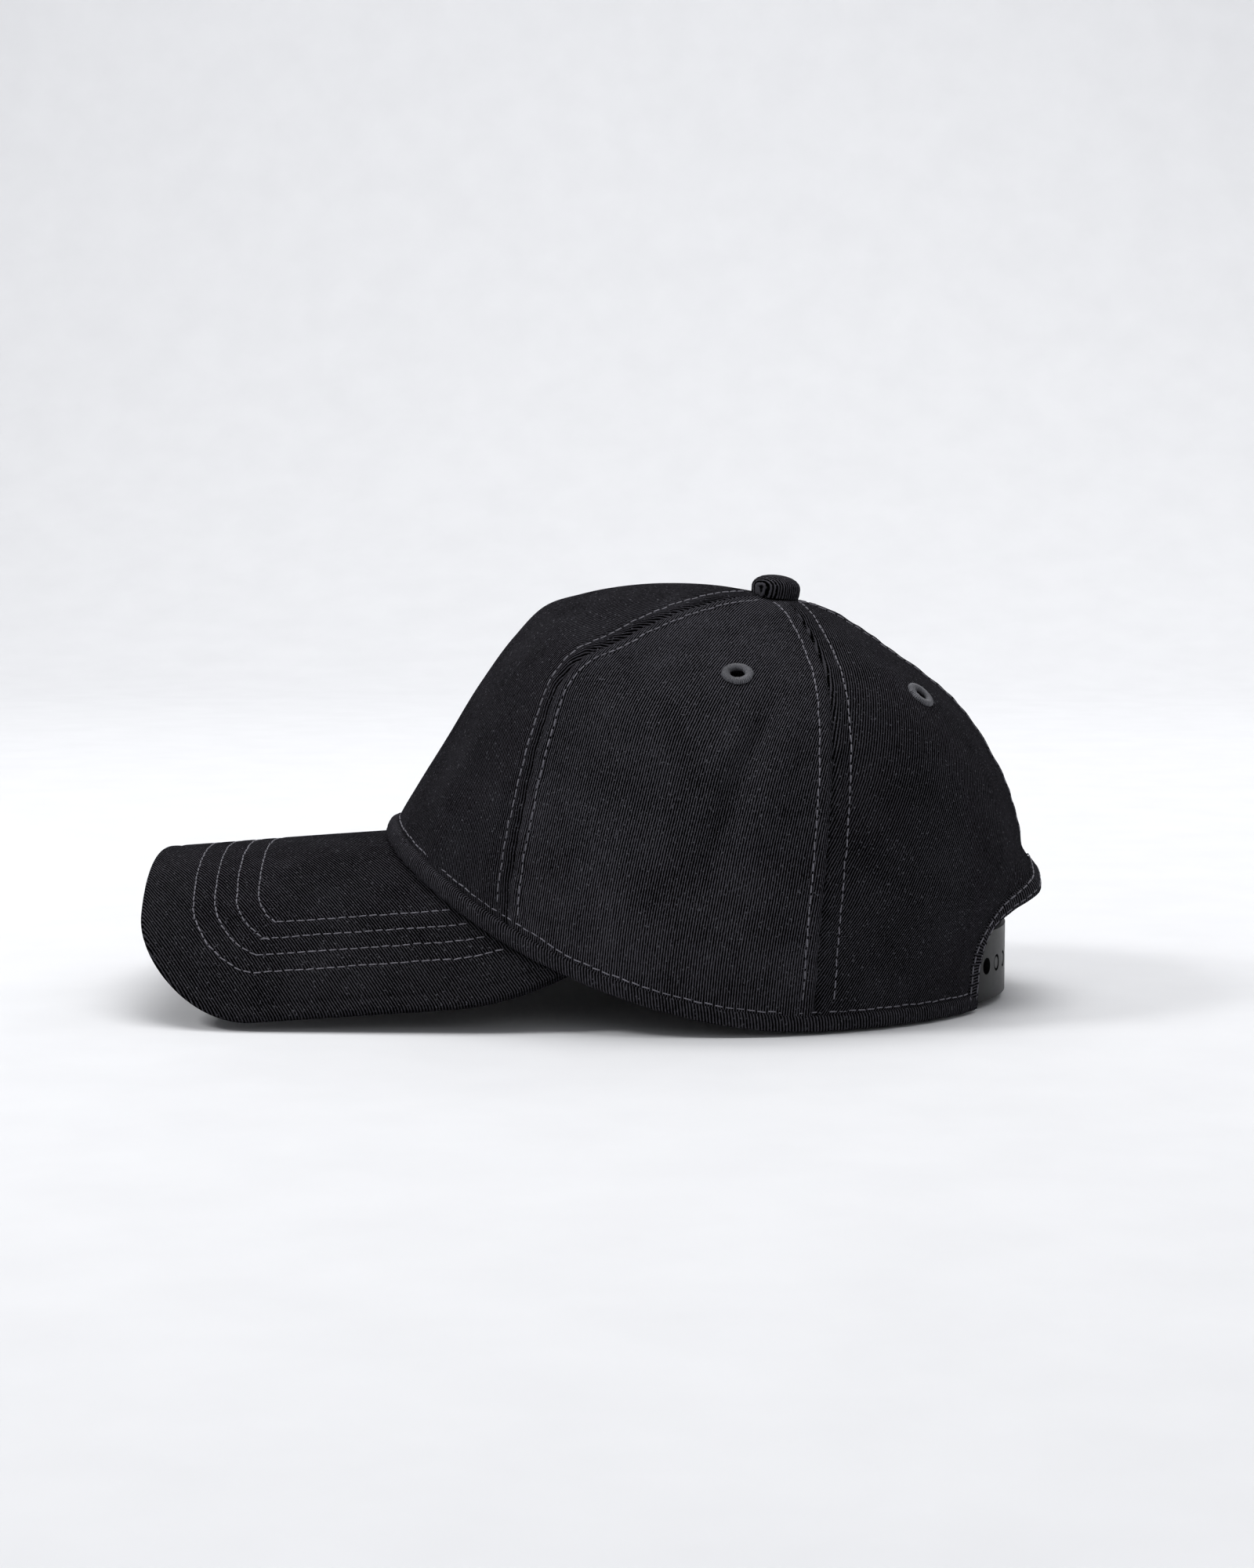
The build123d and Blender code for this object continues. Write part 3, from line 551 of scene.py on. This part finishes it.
def seam_ditch(distance):
    """Depth of the surface near a seam: a narrow ditch between two padded allowances."""
    d = np.abs(distance)
    return -0.75 * np.exp(-(d / 0.9) ** 2) + 0.34 * np.exp(-((d - 2.2) / 1.3) ** 2) \
        - 0.22 * np.exp(-((d - 4.6) / 0.7) ** 2)


def pucker(distance, along):
    """Small pulls in the cloth along a seam's stitches."""
    reach = np.exp(-(np.abs(distance) / 9.0) ** 2)
    wave = np.sin(along * 0.92 + 1.3 * np.sin(along * 0.21)) + 0.6 * np.sin(along * 0.47 + 2.0)
    return 0.11 * reach * wave


def dents(points):
    """Slow unevenness of worn cloth, from a few fixed waves."""
    x, y, z = points[..., 0], points[..., 1], points[..., 2]
    wave = 0.22 * np.sin(0.061 * y + 0.043 * z + 1.1) * np.sin(0.072 * z - 0.030 * x + 0.4)
    wave += 0.14 * np.sin(0.12 * y - 0.09 * z + 2.2 + 0.05 * x) * np.cos(0.08 * x + 0.07 * z)
    return wave


def side_crease(azimuth, share):
    """Soft fold that runs down the side panel."""
    centre = 91.0 - 40.0 * (0.62 - share)
    near = np.abs(azimuth) - centre
    tall = smooth((share - 0.18) / 0.16) * (1.0 - smooth((share - 0.50) / 0.14))
    return tall * (-2.1 * np.exp(-(near / 2.6) ** 2) + 1.3 * np.exp(-((near - 6.5) / 4.0) ** 2))


def panel_grid(seam_a, side_a, gap_a, seam_b, side_b, gap_b, low, high, columns, rows):
    """Azimuths and shares of a panel, finer near its edges. side_a and side_b pick the seam's copy."""
    share = low + (high - low) * np.linspace(0.0, 1.0, rows) ** 0.97
    t = np.linspace(-1.0, 1.0, columns)
    t = 0.5 + 0.5 * np.sign(t) * (1.0 - (1.0 - np.abs(t)) ** 1.5)
    start = beside(seam_a, share, gap_a, side_a)
    end = beside(seam_b, share, gap_b, side_b)
    azimuth = start[:, None] + (end - start)[:, None] * t[None, :]
    return azimuth, np.broadcast_to(share[:, None], azimuth.shape)


def outward(grid, side):
    """A grid on the right is mirrored, so its columns are reversed to keep it facing out."""
    azimuth, share = grid
    return (azimuth[:, ::-1] if side < 0 else azimuth), share


def panel_lift(azimuth, share, point, seams, crease=False):
    """How far the cloth stands off the smooth crown, in mm."""
    radius = np.hypot(point[..., 0], point[..., 1] - BUTTON_Y)
    along = share * CLOTH_LENGTH
    lift = dents(point)
    for seam, side in seams:
        distance = np.radians(azimuth - side * SEAMS[seam](share)) * radius
        lift = lift + seam_ditch(distance) + pucker(distance, along)
    lift = lift + 0.15 * np.exp(-((along - 9.0) / 5.0) ** 2) * np.sin(azimuth * 0.55)
    if crease:
        lift = lift + side_crease(azimuth, share)
    return lift * (1.0 - smooth((share - 0.84) / 0.09))


def make_panel(name, grid, seams, nodes, material, area, flat, crease=False):
    azimuth, share = grid
    outer = crown(azimuth, share)
    normal = crown_normal(azimuth, share)
    lift = panel_lift(azimuth, share, outer, seams, crease)[..., None]
    obj = shell(name, outer + normal * lift, outer + normal * (lift - TWILL * 0.8))
    return obj, (nodes, material, area, flat)


def arch_cutter(grow):
    """Prism through the rear of the crown with the arch's outline."""
    half, rise = ARCH_X + grow, ARCH_RISE + grow
    a = np.linspace(0.0, math.pi, 49)
    outline = [(half * math.cos(t), ARCH_SPRING_Z + rise * math.sin(t)) for t in a]
    outline += [(-half, -20.0), (half, -20.0)]
    n = len(outline)
    points = [(x, 95.0, z) for x, z in outline] + [(x, 165.0, z) for x, z in outline]
    faces = [list(range(n)), list(range(n, 2 * n))[::-1]]
    faces += [[(i + 1) % n, i, i + n, (i + 1) % n + n] for i in range(n)]
    return new_object("arch_cutter", place(points), faces)


def eyelet_cutter(spot, side, radius):
    centre = crown(side * spot[0], spot[1])
    normal = crown_normal(side * spot[0], spot[1])
    bpy.ops.mesh.primitive_cylinder_add(vertices=32, radius=radius * MM, depth=8 * MM)
    cutter = bpy.context.object
    cutter.matrix_world = (Matrix.Translation(Vector(place(centre)))
                           @ Vector(normal).to_track_quat("Z", "Y").to_matrix().to_4x4())
    return cutter


def make_crown_panels():
    columns, rows = ((72, 150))
    low, high, lap = PANEL_LOW, TOP_SHARE, SEAM_OVERLAP
    grid = panel_grid("front", -1, lap, "front", 1, lap, low, high, columns + 20, rows)
    pieces = [make_panel("front_cloth", grid, [("front", -1), ("front", 1)], ["front_panel"],
                         FRONT_TWILL_PAINTED_SHADE, 0.0155, (0.150, 0.156))]
    for word, side in (("left", 1), ("right", -1)):
        grid = panel_grid("front", side, -lap, "rear", side, lap, low, high, columns, rows)
        obj, rest = make_panel(f"{word}_side_cloth", outward(grid, side), [("front", side), ("rear", side)],
                               [f"{word}_side_panel"], SIDE_TWILL, 0.0104, (0.098, 0.156), crease=True)
        cut_away(obj, [eyelet_cutter(SIDE_EYELET, side, EYELET_HOLE_R)])
        pieces.append((obj, rest))
        grid = panel_grid("rear", side, -lap, "centre", side, lap, low, high, columns, rows)
        obj, rest = make_panel(f"{word}_rear_cloth", outward(grid, side),
                               [("rear", side), ("centre", side)], [f"{word}_rear_panel"],
                               REAR_TWILL_PAINTED_SHADE, 0.0094, (0.100, 0.150))
        cut_away(obj, [arch_cutter(BINDING_WIDTH - BINDING_LAP),
                       eyelet_cutter(REAR_EYELET, side, EYELET_HOLE_R)])
        pieces.append((obj, rest))
    for obj, (nodes, material, area, flat) in pieces:
        finish_piece(obj, material, nodes)


# ---- edge hem, arch binding and linings -----------------------------------------------

def hem_frame(azimuth, share):
    centre = crown(azimuth, share)
    normal = crown_normal(azimuth, share)
    up = unit(crown(azimuth, share + 0.01) - crown(azimuth, np.maximum(share - 0.01, 0.0)))
    return centre, normal, unit(up - normal * np.sum(up * normal, axis=-1, keepdims=True))


def plan_angle(azimuth):
    return ring_angle(np.abs(azimuth), ring(np.zeros_like(azimuth)))


def make_edge_hem():
    azimuth = np.linspace(-146.8, 146.8, 620)
    angle = plan_angle(azimuth)
    front = smooth((VISOR_END_ANGLE + 10.0 - angle) / 20.0)
    height = 2.45 + 0.35 * front
    centre, normal, up = hem_frame(azimuth, height / CLOTH_LENGTH)
    run = np.concatenate([[0.0], np.cumsum(np.linalg.norm(np.diff(centre, axis=0), axis=1))])
    wave = 0.10 * np.sin(run * 0.83 + np.sin(run * 0.17)) + 0.07 * np.sin(run * 0.37)
    half_high = 2.35 + 0.45 * front + 0.5 * wave
    half_thick = 1.25 + 0.55 * front + wave
    centre = centre + normal * (-0.20 + 0.35 * front)[:, None]
    obj = tube("rolled_hem", centre, up, normal, half_high, half_thick)
    finish_piece(obj, HEM_TWILL, ["crown_edge_hem"])
    row_azimuth = np.linspace(-143.5, 143.5, 700)
    row_front = smooth((VISOR_END_ANGLE + 6.0 - plan_angle(row_azimuth)) / 8.0)
    share = (5.4 + 1.2 * row_front) / CLOTH_LENGTH
    path = crown(row_azimuth, share)
    normals = crown_normal(row_azimuth, share)
    return [(path + normals * 0.12, normals)]


def arch_path(grow, count, leg_low=0.8):
    """Points on the crown's surface along the arch's outline, left leg to right leg."""
    half, rise = ARCH_X + grow, ARCH_RISE + grow
    a = np.linspace(0.0, math.pi, count)
    x, z = half * np.cos(a), ARCH_SPRING_Z + rise * np.sin(a)
    leg = np.linspace(leg_low, ARCH_SPRING_Z, 14)[:-1]
    x = np.concatenate([np.full(len(leg), half), x, np.full(len(leg), -half)])
    z = np.concatenate([leg, z, leg[::-1]])
    azimuth = 180.0 - np.degrees(np.arctan2(x, ARCH_DISTANCE))
    share = np.clip(z / CLOTH_LENGTH, 0.0, 0.6)
    for _ in range(14):
        here = crown(azimuth, share)
        azimuth = azimuth - (x - here[:, 0]) / np.radians(1.0) / ARCH_DISTANCE * 0.8
        share = np.clip(share + (z - here[:, 2]) / CLOTH_LENGTH * 0.8, 0.0, 0.6)
    return crown(azimuth, share), crown_normal(azimuth, share)


def make_arch_binding():
    centre, normal = arch_path(BINDING_WIDTH / 2 - 0.1, 181)
    ahead = unit(np.gradient(centre, axis=0))
    side = unit(np.cross(normal, ahead))
    run = np.concatenate([[0.0], np.cumsum(np.linalg.norm(np.diff(centre, axis=0), axis=1))])
    wave = 0.09 * np.sin(run * 0.95) + 0.08 * np.sin(run * 0.41 + 1.0)
    obj = tube("arch_roll", centre + normal * -0.3, side, normal, BINDING_WIDTH / 2 + 0.05, 1.1 + wave)
    finish_piece(obj, HEM_TWILL, ["arch_binding"])
    rows = []
    for offset in ARCH_ROWS:
        path, normals = arch_path(offset, 181, 2.0)
        rows.append((path + normals * 0.80, normals))
    return rows


def lining_strip(name, start, end, low, high, depths, columns, rows, nodes, material, slot):
    """Shell inside the crown. start and end are azimuths, or functions of the share."""
    share = np.linspace(low, high, rows)
    a = start(share) if callable(start) else np.full(rows, float(start))
    b = end(share) if callable(end) else np.full(rows, float(end))
    azimuth = a[:, None] + (b - a)[:, None] * np.linspace(0.0, 1.0, columns)[None, :]
    grid = np.broadcast_to(share[:, None], azimuth.shape)
    surface, normal = crown(azimuth, grid), crown_normal(azimuth, grid)
    ripple = 0.08 * np.sin(azimuth * 0.9 + 9.0 * grid)[..., None]
    obj = shell(name, surface + normal * (depths[0] + ripple), surface + normal * (depths[1] + ripple))
    return finish_piece(obj, material, nodes)


def seam_tape(name, seam, side, low, rows, node):
    """Tape over a seam, on the inside."""
    lining_strip(name, lambda share: beside(seam, share, -TAPE_HALF * side, side),
                 lambda share: beside(seam, share, TAPE_HALF * side, side),
                 low, TAPE_HIGH, TAPE_DEPTHS, 12, rows, [node], TAPE_CLOTH, "seam_tape")


def make_linings():
    for word, side in (("left", 1), ("right", -1)):
        for seam in ("front", "rear"):
            seam_tape(f"{seam}_{word}_tape", seam, side, TAPE_LOW, 90, f"{seam}_{word}_seam_tape")
    seam_tape("rear_centre_tape", "centre", 1, CENTRE_TAPE_LOW, 70, "rear_centre_seam_tape")
    inset = TAPE_HALF + 0.5
    lining_strip("buckram", lambda share: beside("front", share, -inset, -1),
                 lambda share: beside("front", share, -inset), TAPE_LOW, STIFFENER_HIGH,
                 STIFFENER_DEPTHS, 50, 80, ["front_stiffener"], BUCKRAM, "buckram")
    lining_strip("sweatband_cloth", -BAND_END, BAND_END, BAND_HEIGHTS[0] / CLOTH_LENGTH,
                 BAND_HEIGHTS[1] / CLOTH_LENGTH, BAND_DEPTHS, 260, 14, ["sweatband"],
                 SWEAT_CLOTH, "sweatband_cotton")
    lining_strip("care_label_cloth", *LABEL_ANGLES, LABEL_HEIGHTS[0] / CLOTH_LENGTH,
                 LABEL_HEIGHTS[1] / CLOTH_LENGTH, LABEL_DEPTHS, 20, 16, ["care_label"],
                 LABEL_CLOTH, "label_cloth")
    row_azimuth = np.linspace(-143.0, 143.0, 600)
    rows = []
    for height in BAND_ROWS:
        share = np.full(row_azimuth.shape, height / CLOTH_LENGTH)
        normals = crown_normal(row_azimuth, share)
        rows.append((crown(row_azimuth, share) + normals * (BAND_DEPTHS[1] - 0.02), -normals))
    return rows


def seam_stitches():
    """Topstitching on both sides of every seam, on the relief of the cloth beside it."""
    rows = []
    share = np.linspace(0.052, 0.935, 400)
    for seam, sides in (("front", (1, -1)), ("rear", (1, -1)), ("centre", (1,))):
        for side in sides:
            for offset in SEAM_ROWS[seam]:
                s = share[share > 0.315] if seam == "centre" else share[share > 0.052]
                azimuth = beside(seam, s, offset, side)
                path, normals = crown(azimuth, s), crown_normal(azimuth, s)
                on_side_panel = seam == "front" and offset > 0
                lift = panel_lift(azimuth, s, path, [(seam, side)], on_side_panel)
                rows.append((path + normals * (lift + 0.12)[:, None], normals))
    return rows


# ---- visor ----------------------------------------------------------------------------

def visor_outline(inset, count=240):
    """Plan outline of the visor's free edge from the right root to the left root."""
    front_r, corner = VISOR_FRONT_R - inset, VISOR_CORNER_R - inset
    half, tip = VISOR_HALF - inset, VISOR_TIP_Y + inset
    corner_x = half - corner
    centre_y = tip + front_r
    corner_y = centre_y - math.sqrt((front_r - corner) ** 2 - corner_x ** 2)
    turn = math.atan2(corner_x, centre_y - corner_y)
    front = [(front_r * math.sin(t), centre_y - front_r * math.cos(t))
             for t in np.linspace(0, turn, 60)]
    bend = [(corner_x + corner * math.sin(t), corner_y - corner * math.cos(t))
            for t in np.linspace(turn, math.pi / 2, 70)[1:]]
    side = [(half, y) for y in np.linspace(corner_y, VISOR_SIDE_END_Y, 30)[1:]]
    root = [(half + (VISOR_ROOT_X - half) * k ** 2.2, VISOR_SIDE_END_Y + VISOR_ROOT_REACH * k)
            for k in np.linspace(0.0, 1.0, 22)[1:]]
    right = np.array(front + bend + side + root)
    run = np.concatenate([[0.0], np.cumsum(np.linalg.norm(np.diff(right, axis=0), axis=1))])
    at = np.linspace(0.0, run[-1], count // 2)
    right = np.stack([np.interp(at, run, right[:, k]) for k in range(2)], axis=1)
    left = right[1:][::-1] * np.array([-1.0, 1.0])
    return np.concatenate([left, right])


def on_visor(plan, depth):
    """Points on the bent plate, depth mm below its top face, and their upward normals."""
    x, y = plan[..., 0], plan[..., 1]
    squeeze = (VISOR_R - depth) / VISOR_R
    across = x / VISOR_R
    tilt = math.radians(VISOR_TILT)
    normal = np.stack([across, -np.sin(tilt) * np.sqrt(1 - across ** 2),
                       np.cos(tilt) * np.sqrt(1 - across ** 2)], axis=-1)
    centre_z = VISOR_ROOT_Z + (y - VISOR_ROOT_Y) * math.tan(tilt) - VISOR_R
    z = centre_z + (VISOR_R - depth) * np.sqrt(1 - across ** 2)
    return np.stack([x * squeeze, y, z], axis=-1), normal


def visor_grid(inset, columns, rows):
    """Plan grid from the crown's edge line out to the rim."""
    rim = visor_outline(inset, columns)
    a = np.linspace(-1.0, 1.0, len(rim)) * math.radians(VISOR_END_ANGLE + VISOR_OVERRUN)
    root = np.stack([(EDGE_X - VISOR_TUCK) * np.sin(a),
                     EDGE_CENTRE_Y - (EDGE_LENGTH - VISOR_TUCK) * np.cos(a)], axis=1)
    t = np.linspace(0.0, 1.0, rows)
    t = 1.0 - (1.0 - t) ** 1.35
    return root[None] + (rim - root)[None] * t[:, None, None]


def unrolled(plan):
    """Plan positions laid flat: distance round the bend, and distance forward."""
    return np.stack([VISOR_R * np.arcsin(np.clip(plan[..., 0] / VISOR_R, -1.0, 1.0)),
                     plan[..., 1] / math.cos(math.radians(VISOR_TILT))], axis=-1)


def rolled(flat):
    """The reverse of unrolled."""
    return np.stack([VISOR_R * np.sin(flat[..., 0] / VISOR_R),
                     flat[..., 1] * math.cos(math.radians(VISOR_TILT))], axis=-1)


def rim_distance(points, rim):
    """Shortest distance from each point to the rim's points."""
    near = np.empty(len(points))
    for start in range(0, len(points), 4000):
        part = points[start:start + 4000]
        gap = part[:, None] - rim[None]
        near[start:start + 4000] = np.min(np.hypot(gap[..., 0], gap[..., 1]), axis=1)
    return near


def visor_row(inset):
    """Plan line that runs inset mm inside the rim, measured on the cloth, as far as the crown."""
    rim = unrolled(visor_outline(0.0, 1200))
    ahead = unit(np.gradient(rim, axis=0))
    line = rim + np.stack([-ahead[:, 1], ahead[:, 0]], axis=1) * inset
    line = rolled(line[rim_distance(line, rim[::4]) > inset - 0.25])
    crown_edge = (EDGE_X + 0.5, EDGE_LENGTH + 0.5)
    outside = (line[:, 0] / crown_edge[0]) ** 2 + ((line[:, 1] - EDGE_CENTRE_Y) / crown_edge[1]) ** 2
    return line[outside > 1.0]


def visor_waves(plan):
    """Shallow quilting between the stitch rows and slight unevenness."""
    rim = unrolled(visor_outline(0.0, 481))
    near = rim_distance(unrolled(plan).reshape(-1, 2), rim).reshape(plan.shape[:-1])
    lift = np.zeros_like(near)
    for row in VISOR_ROWS:
        lift -= 0.34 * np.exp(-((near - row) / 1.0) ** 2)
    lift += 0.10 * np.sin(0.11 * plan[..., 0] + 0.5) * np.sin(0.09 * plan[..., 1])
    lift -= 0.35 * np.exp(-((near - 4.2) / 0.9) ** 2)
    return lift


def visor_cover(name, node, plan, inner_plan, way, material):
    """Cloth on one face of the visor, rolled over the rim to meet the other. way is 1 on top."""
    depth = VISOR_THICKNESS * (1.0 - way) / 2.0
    face, normal = on_visor(plan, depth)
    lining, _ = on_visor(inner_plan, depth + way * VISOR_LINING)
    middle, _ = on_visor(plan, VISOR_THICKNESS / 2.0)
    roll = np.zeros(plan.shape[0])
    roll[-6:] = (0.05, 0.12, 0.25, 0.45, 0.72, 1.0)
    face = face + normal * (way * visor_waves(plan))[..., None]
    face = face * (1 - roll)[:, None, None] + middle * roll[:, None, None]
    order = slice(None, None, -1 if way > 0 else 1)
    obj = shell(name, face[:, order], lining[:, order], unrolled(plan)[:, order] * MM)
    finish_piece(obj, material, [node])


def make_visor():
    columns, rows = ((361, 110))
    plan, inner_plan = visor_grid(0.0, columns, rows), visor_grid(1.4, columns, rows)
    visor_cover("visor_top_cloth", "visor_top_cover", plan, inner_plan, 1.0, VISOR_TWILL_PAINTED_SHADE)
    visor_cover("visor_under_cloth", "visor_bottom_cover", plan, inner_plan, -1.0, UNDER_TWILL)
    rows_out = []
    for depth, way in ((0.0, 1.0), (VISOR_THICKNESS, -1.0)):
        for inset in VISOR_ROWS:
            path, normal = on_visor(visor_row(inset), depth)
            rows_out.append((path + normal * way * -0.16, normal * way))
    return rows_out


# ---- eyelets and button ---------------------------------------------------------------

def make_eyelet(name, spot, side, node):
    """Embroidered ring: many radial threads over a low torus."""
    centre = crown(side * spot[0], spot[1])
    normal = crown_normal(side * spot[0], spot[1])
    u = unit(np.cross(normal, np.array([0.0, 0.0, 1.0])))
    v = np.cross(normal, u)
    around = 7
    points, faces = [], []
    arc = np.linspace(math.radians(-35.0), math.radians(205.0), 12)
    for k in range(RING_THREADS):
        t = 2 * math.pi * k / RING_THREADS
        out = u * math.cos(t) + v * math.sin(t)
        tangent = -u * math.sin(t) + v * math.cos(t)
        reach = RING_REACH * (1.0 + 0.06 * rng.normal())
        base = len(points)
        for a in arc:
            spine = centre + out * (RING_R + reach * math.cos(a))
            spine = spine + normal * (0.05 + RING_HEIGHT * math.sin(a))
            lean = unit(out * math.cos(a) + normal * math.sin(a))
            for b in np.linspace(0, 2 * math.pi, around, endpoint=False):
                width = 0.26 + 0.03 * math.cos(a)
                points.append(spine + tangent * (width * math.cos(b)) + lean * (0.22 * math.sin(b)))
        faces += grid_faces(len(arc), around, base, wrap=True)
        faces.append([base + q for q in range(around)][::-1])
        faces.append([base + (len(arc) - 1) * around + q for q in range(around)])
    points = place(np.array(points))
    obj = new_object(name, points, faces, points[:, :2])
    finish_piece(obj, GREY_THREAD, [node])


def make_button():
    """Twill stretched over the button, gathered slightly at its edge."""
    tilt = Matrix.Rotation(math.radians(-BUTTON_TILT), 4, "X")
    base = Matrix.Translation(Vector(place((0.0, BUTTON_Y, BUTTON_Z)))) @ tilt
    profile = [(6.9, -1.5), (7.15, -0.4), (7.3, 1.6), (7.15, 2.4), (6.7, 3.2), (5.8, 4.0), (4.4, 4.7),
               (2.8, 5.1), (1.3, 5.28), (0.02, 5.3)]
    rings, around = 37, 96
    at = np.linspace(0, len(profile) - 1, rings)
    r = np.interp(at, range(len(profile)), [p[0] for p in profile])
    z = np.interp(at, range(len(profile)), [p[1] for p in profile])
    a = np.linspace(0, 2 * math.pi, around, endpoint=False)
    gather = 1.0 + 0.012 * np.sin(18 * a)[None, :] * np.clip(1.0 - z / 3.0, 0, 1)[:, None]
    outer = np.stack([r[:, None] * np.cos(a) * gather, r[:, None] * np.sin(a) * gather,
                      np.broadcast_to(z[:, None], (rings, around))], axis=-1)
    inner = outer * np.array([0.93, 0.93, 0.92])
    count = rings * around
    faces = grid_faces(rings, around, wrap=True) + grid_faces(rings, around, count, flip=True, wrap=True)
    faces += [[j, j + count, (j + 1) % around + count, (j + 1) % around] for j in range(around)]
    points = np.concatenate([outer.reshape(-1, 3), inner.reshape(-1, 3)]) * MM
    obj = new_object("button_cloth", [base @ Vector(p) for p in points], faces, points[:, :2])
    finish_piece(obj, BUTTON_TWILL, ["button_cover"])


# ---- assembly -------------------------------------------------------------------------

make_crown_panels()
hem_rows = make_edge_hem()
arch_rows = make_arch_binding()
band_rows = make_linings()
visor_rows = make_visor()
stitches("seam_topstitch", seam_stitches())
stitches("hem_topstitch", hem_rows)
stitches("arch_topstitch", arch_rows)
stitches("sweatband_stitch", band_rows)
stitches("visor_topstitch", visor_rows)
for word, side in (("left", 1), ("right", -1)):
    make_eyelet(f"{word}_side_ring", SIDE_EYELET, side, f"{word}_side_eyelet")
    make_eyelet(f"{word}_rear_ring", REAR_EYELET, side, f"{word}_rear_eyelet")
make_button()
CAD_MATERIALS = {"visor_board": BOARD_PLASTIC, "button_shell": BUTTON_METAL, "button_back": BUTTON_METAL,
                 "hole_strap": STRAP_PLASTIC, "hole_strap_flange": STRAP_PLASTIC,
                 "peg_strap": STRAP_PLASTIC, "peg_strap_flange": STRAP_PLASTIC}
for node, material in CAD_MATERIALS.items():
    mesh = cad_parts[node].data
    mesh.materials.clear()
    mesh.materials.append(material)


# ---- studio ---------------------------------------------------------------------------

def area_light(name, location, target, size, power):
    light = bpy.data.lights.new(name, "AREA")
    light.shape = "RECTANGLE"
    light.size, light.size_y = size
    light.energy = power
    obj = bpy.data.objects.new(name, light)
    bpy.context.collection.objects.link(obj)
    obj.location = location
    obj.rotation_euler = (Vector(target) - Vector(location)).to_track_quat("-Z", "Y").to_euler()


def make_sweep():
    """Pale floor that curves up into a backdrop."""
    reach, front, back, radius, rise, floor = 2.6, 2.4, -1.9, 0.7, 2.6, -0.0006
    bend = [(back + radius - radius * math.sin(t), radius - radius * math.cos(t) + floor)
            for t in np.linspace(0, math.pi / 2, 24)]
    profile = [(front, floor)] + bend + [(back, rise)]
    points = [(x, y, z) for y in (-reach, reach) for x, z in profile]
    sweep = new_object("sweep", points, grid_faces(2, len(profile)))
    n = Nodes("paper")
    grain = n.noise(n.object_space, 30.0, 3.0)
    tones = [(0.3, (0.765, 0.77, 0.785)), (0.7, (0.79, 0.795, 0.81))]
    n.link(n.ramp(grain, tones), n.surface.inputs["Base Color"])
    n.surface.inputs["Roughness"].default_value = 0.9
    sweep.data.materials.append(n.material)


def make_lights():
    """Soft lights and a dim cool surround."""
    middle = (0.0, 0.0, 0.06)
    area_light("key", (0.35, -1.3, 1.35), middle, (0.45, 0.45), 13.0)
    area_light("fill", (1.7, 0.9, 0.7), middle, (1.6, 1.2), 3.2)
    area_light("top", (-0.2, 0.1, 1.9), middle, (1.5, 1.5), 21.0)
    area_light("wall", (-0.7, 0.0, 2.3), (-1.9, 0.0, 0.8), (2.6, 0.6), 17.0)
    area_light("rim", (-1.1, 0.9, 1.0), middle, (1.0, 0.8), 3.0)
    world = bpy.data.worlds.new("studio")
    world.use_nodes = True
    world.node_tree.nodes["Background"].inputs["Color"].default_value = (0.93, 0.945, 1.0, 1.0)
    world.node_tree.nodes["Background"].inputs["Strength"].default_value = 0.27
    bpy.context.scene.world = world
    bpy.context.scene.view_settings.view_transform = "Standard"


def make_camera():
    lift, yaw, distance = math.radians(5.75), math.radians(3.0), 1.0
    target = Vector((0.0, 0.0083, 0.06185))
    back = Vector((math.cos(lift) * math.cos(yaw), math.cos(lift) * math.sin(yaw), math.sin(lift)))
    camera = bpy.data.cameras.new("camera")
    camera.sensor_fit = "VERTICAL"
    camera.sensor_height = 36.0
    camera.lens = 76.06
    obj = bpy.data.objects.new("camera", camera)
    bpy.context.collection.objects.link(obj)
    obj.location = target + back * distance
    obj.rotation_euler = (-back).to_track_quat("-Z", "Y").to_euler()
    bpy.context.scene.camera = obj


make_sweep()
make_lights()
make_camera()
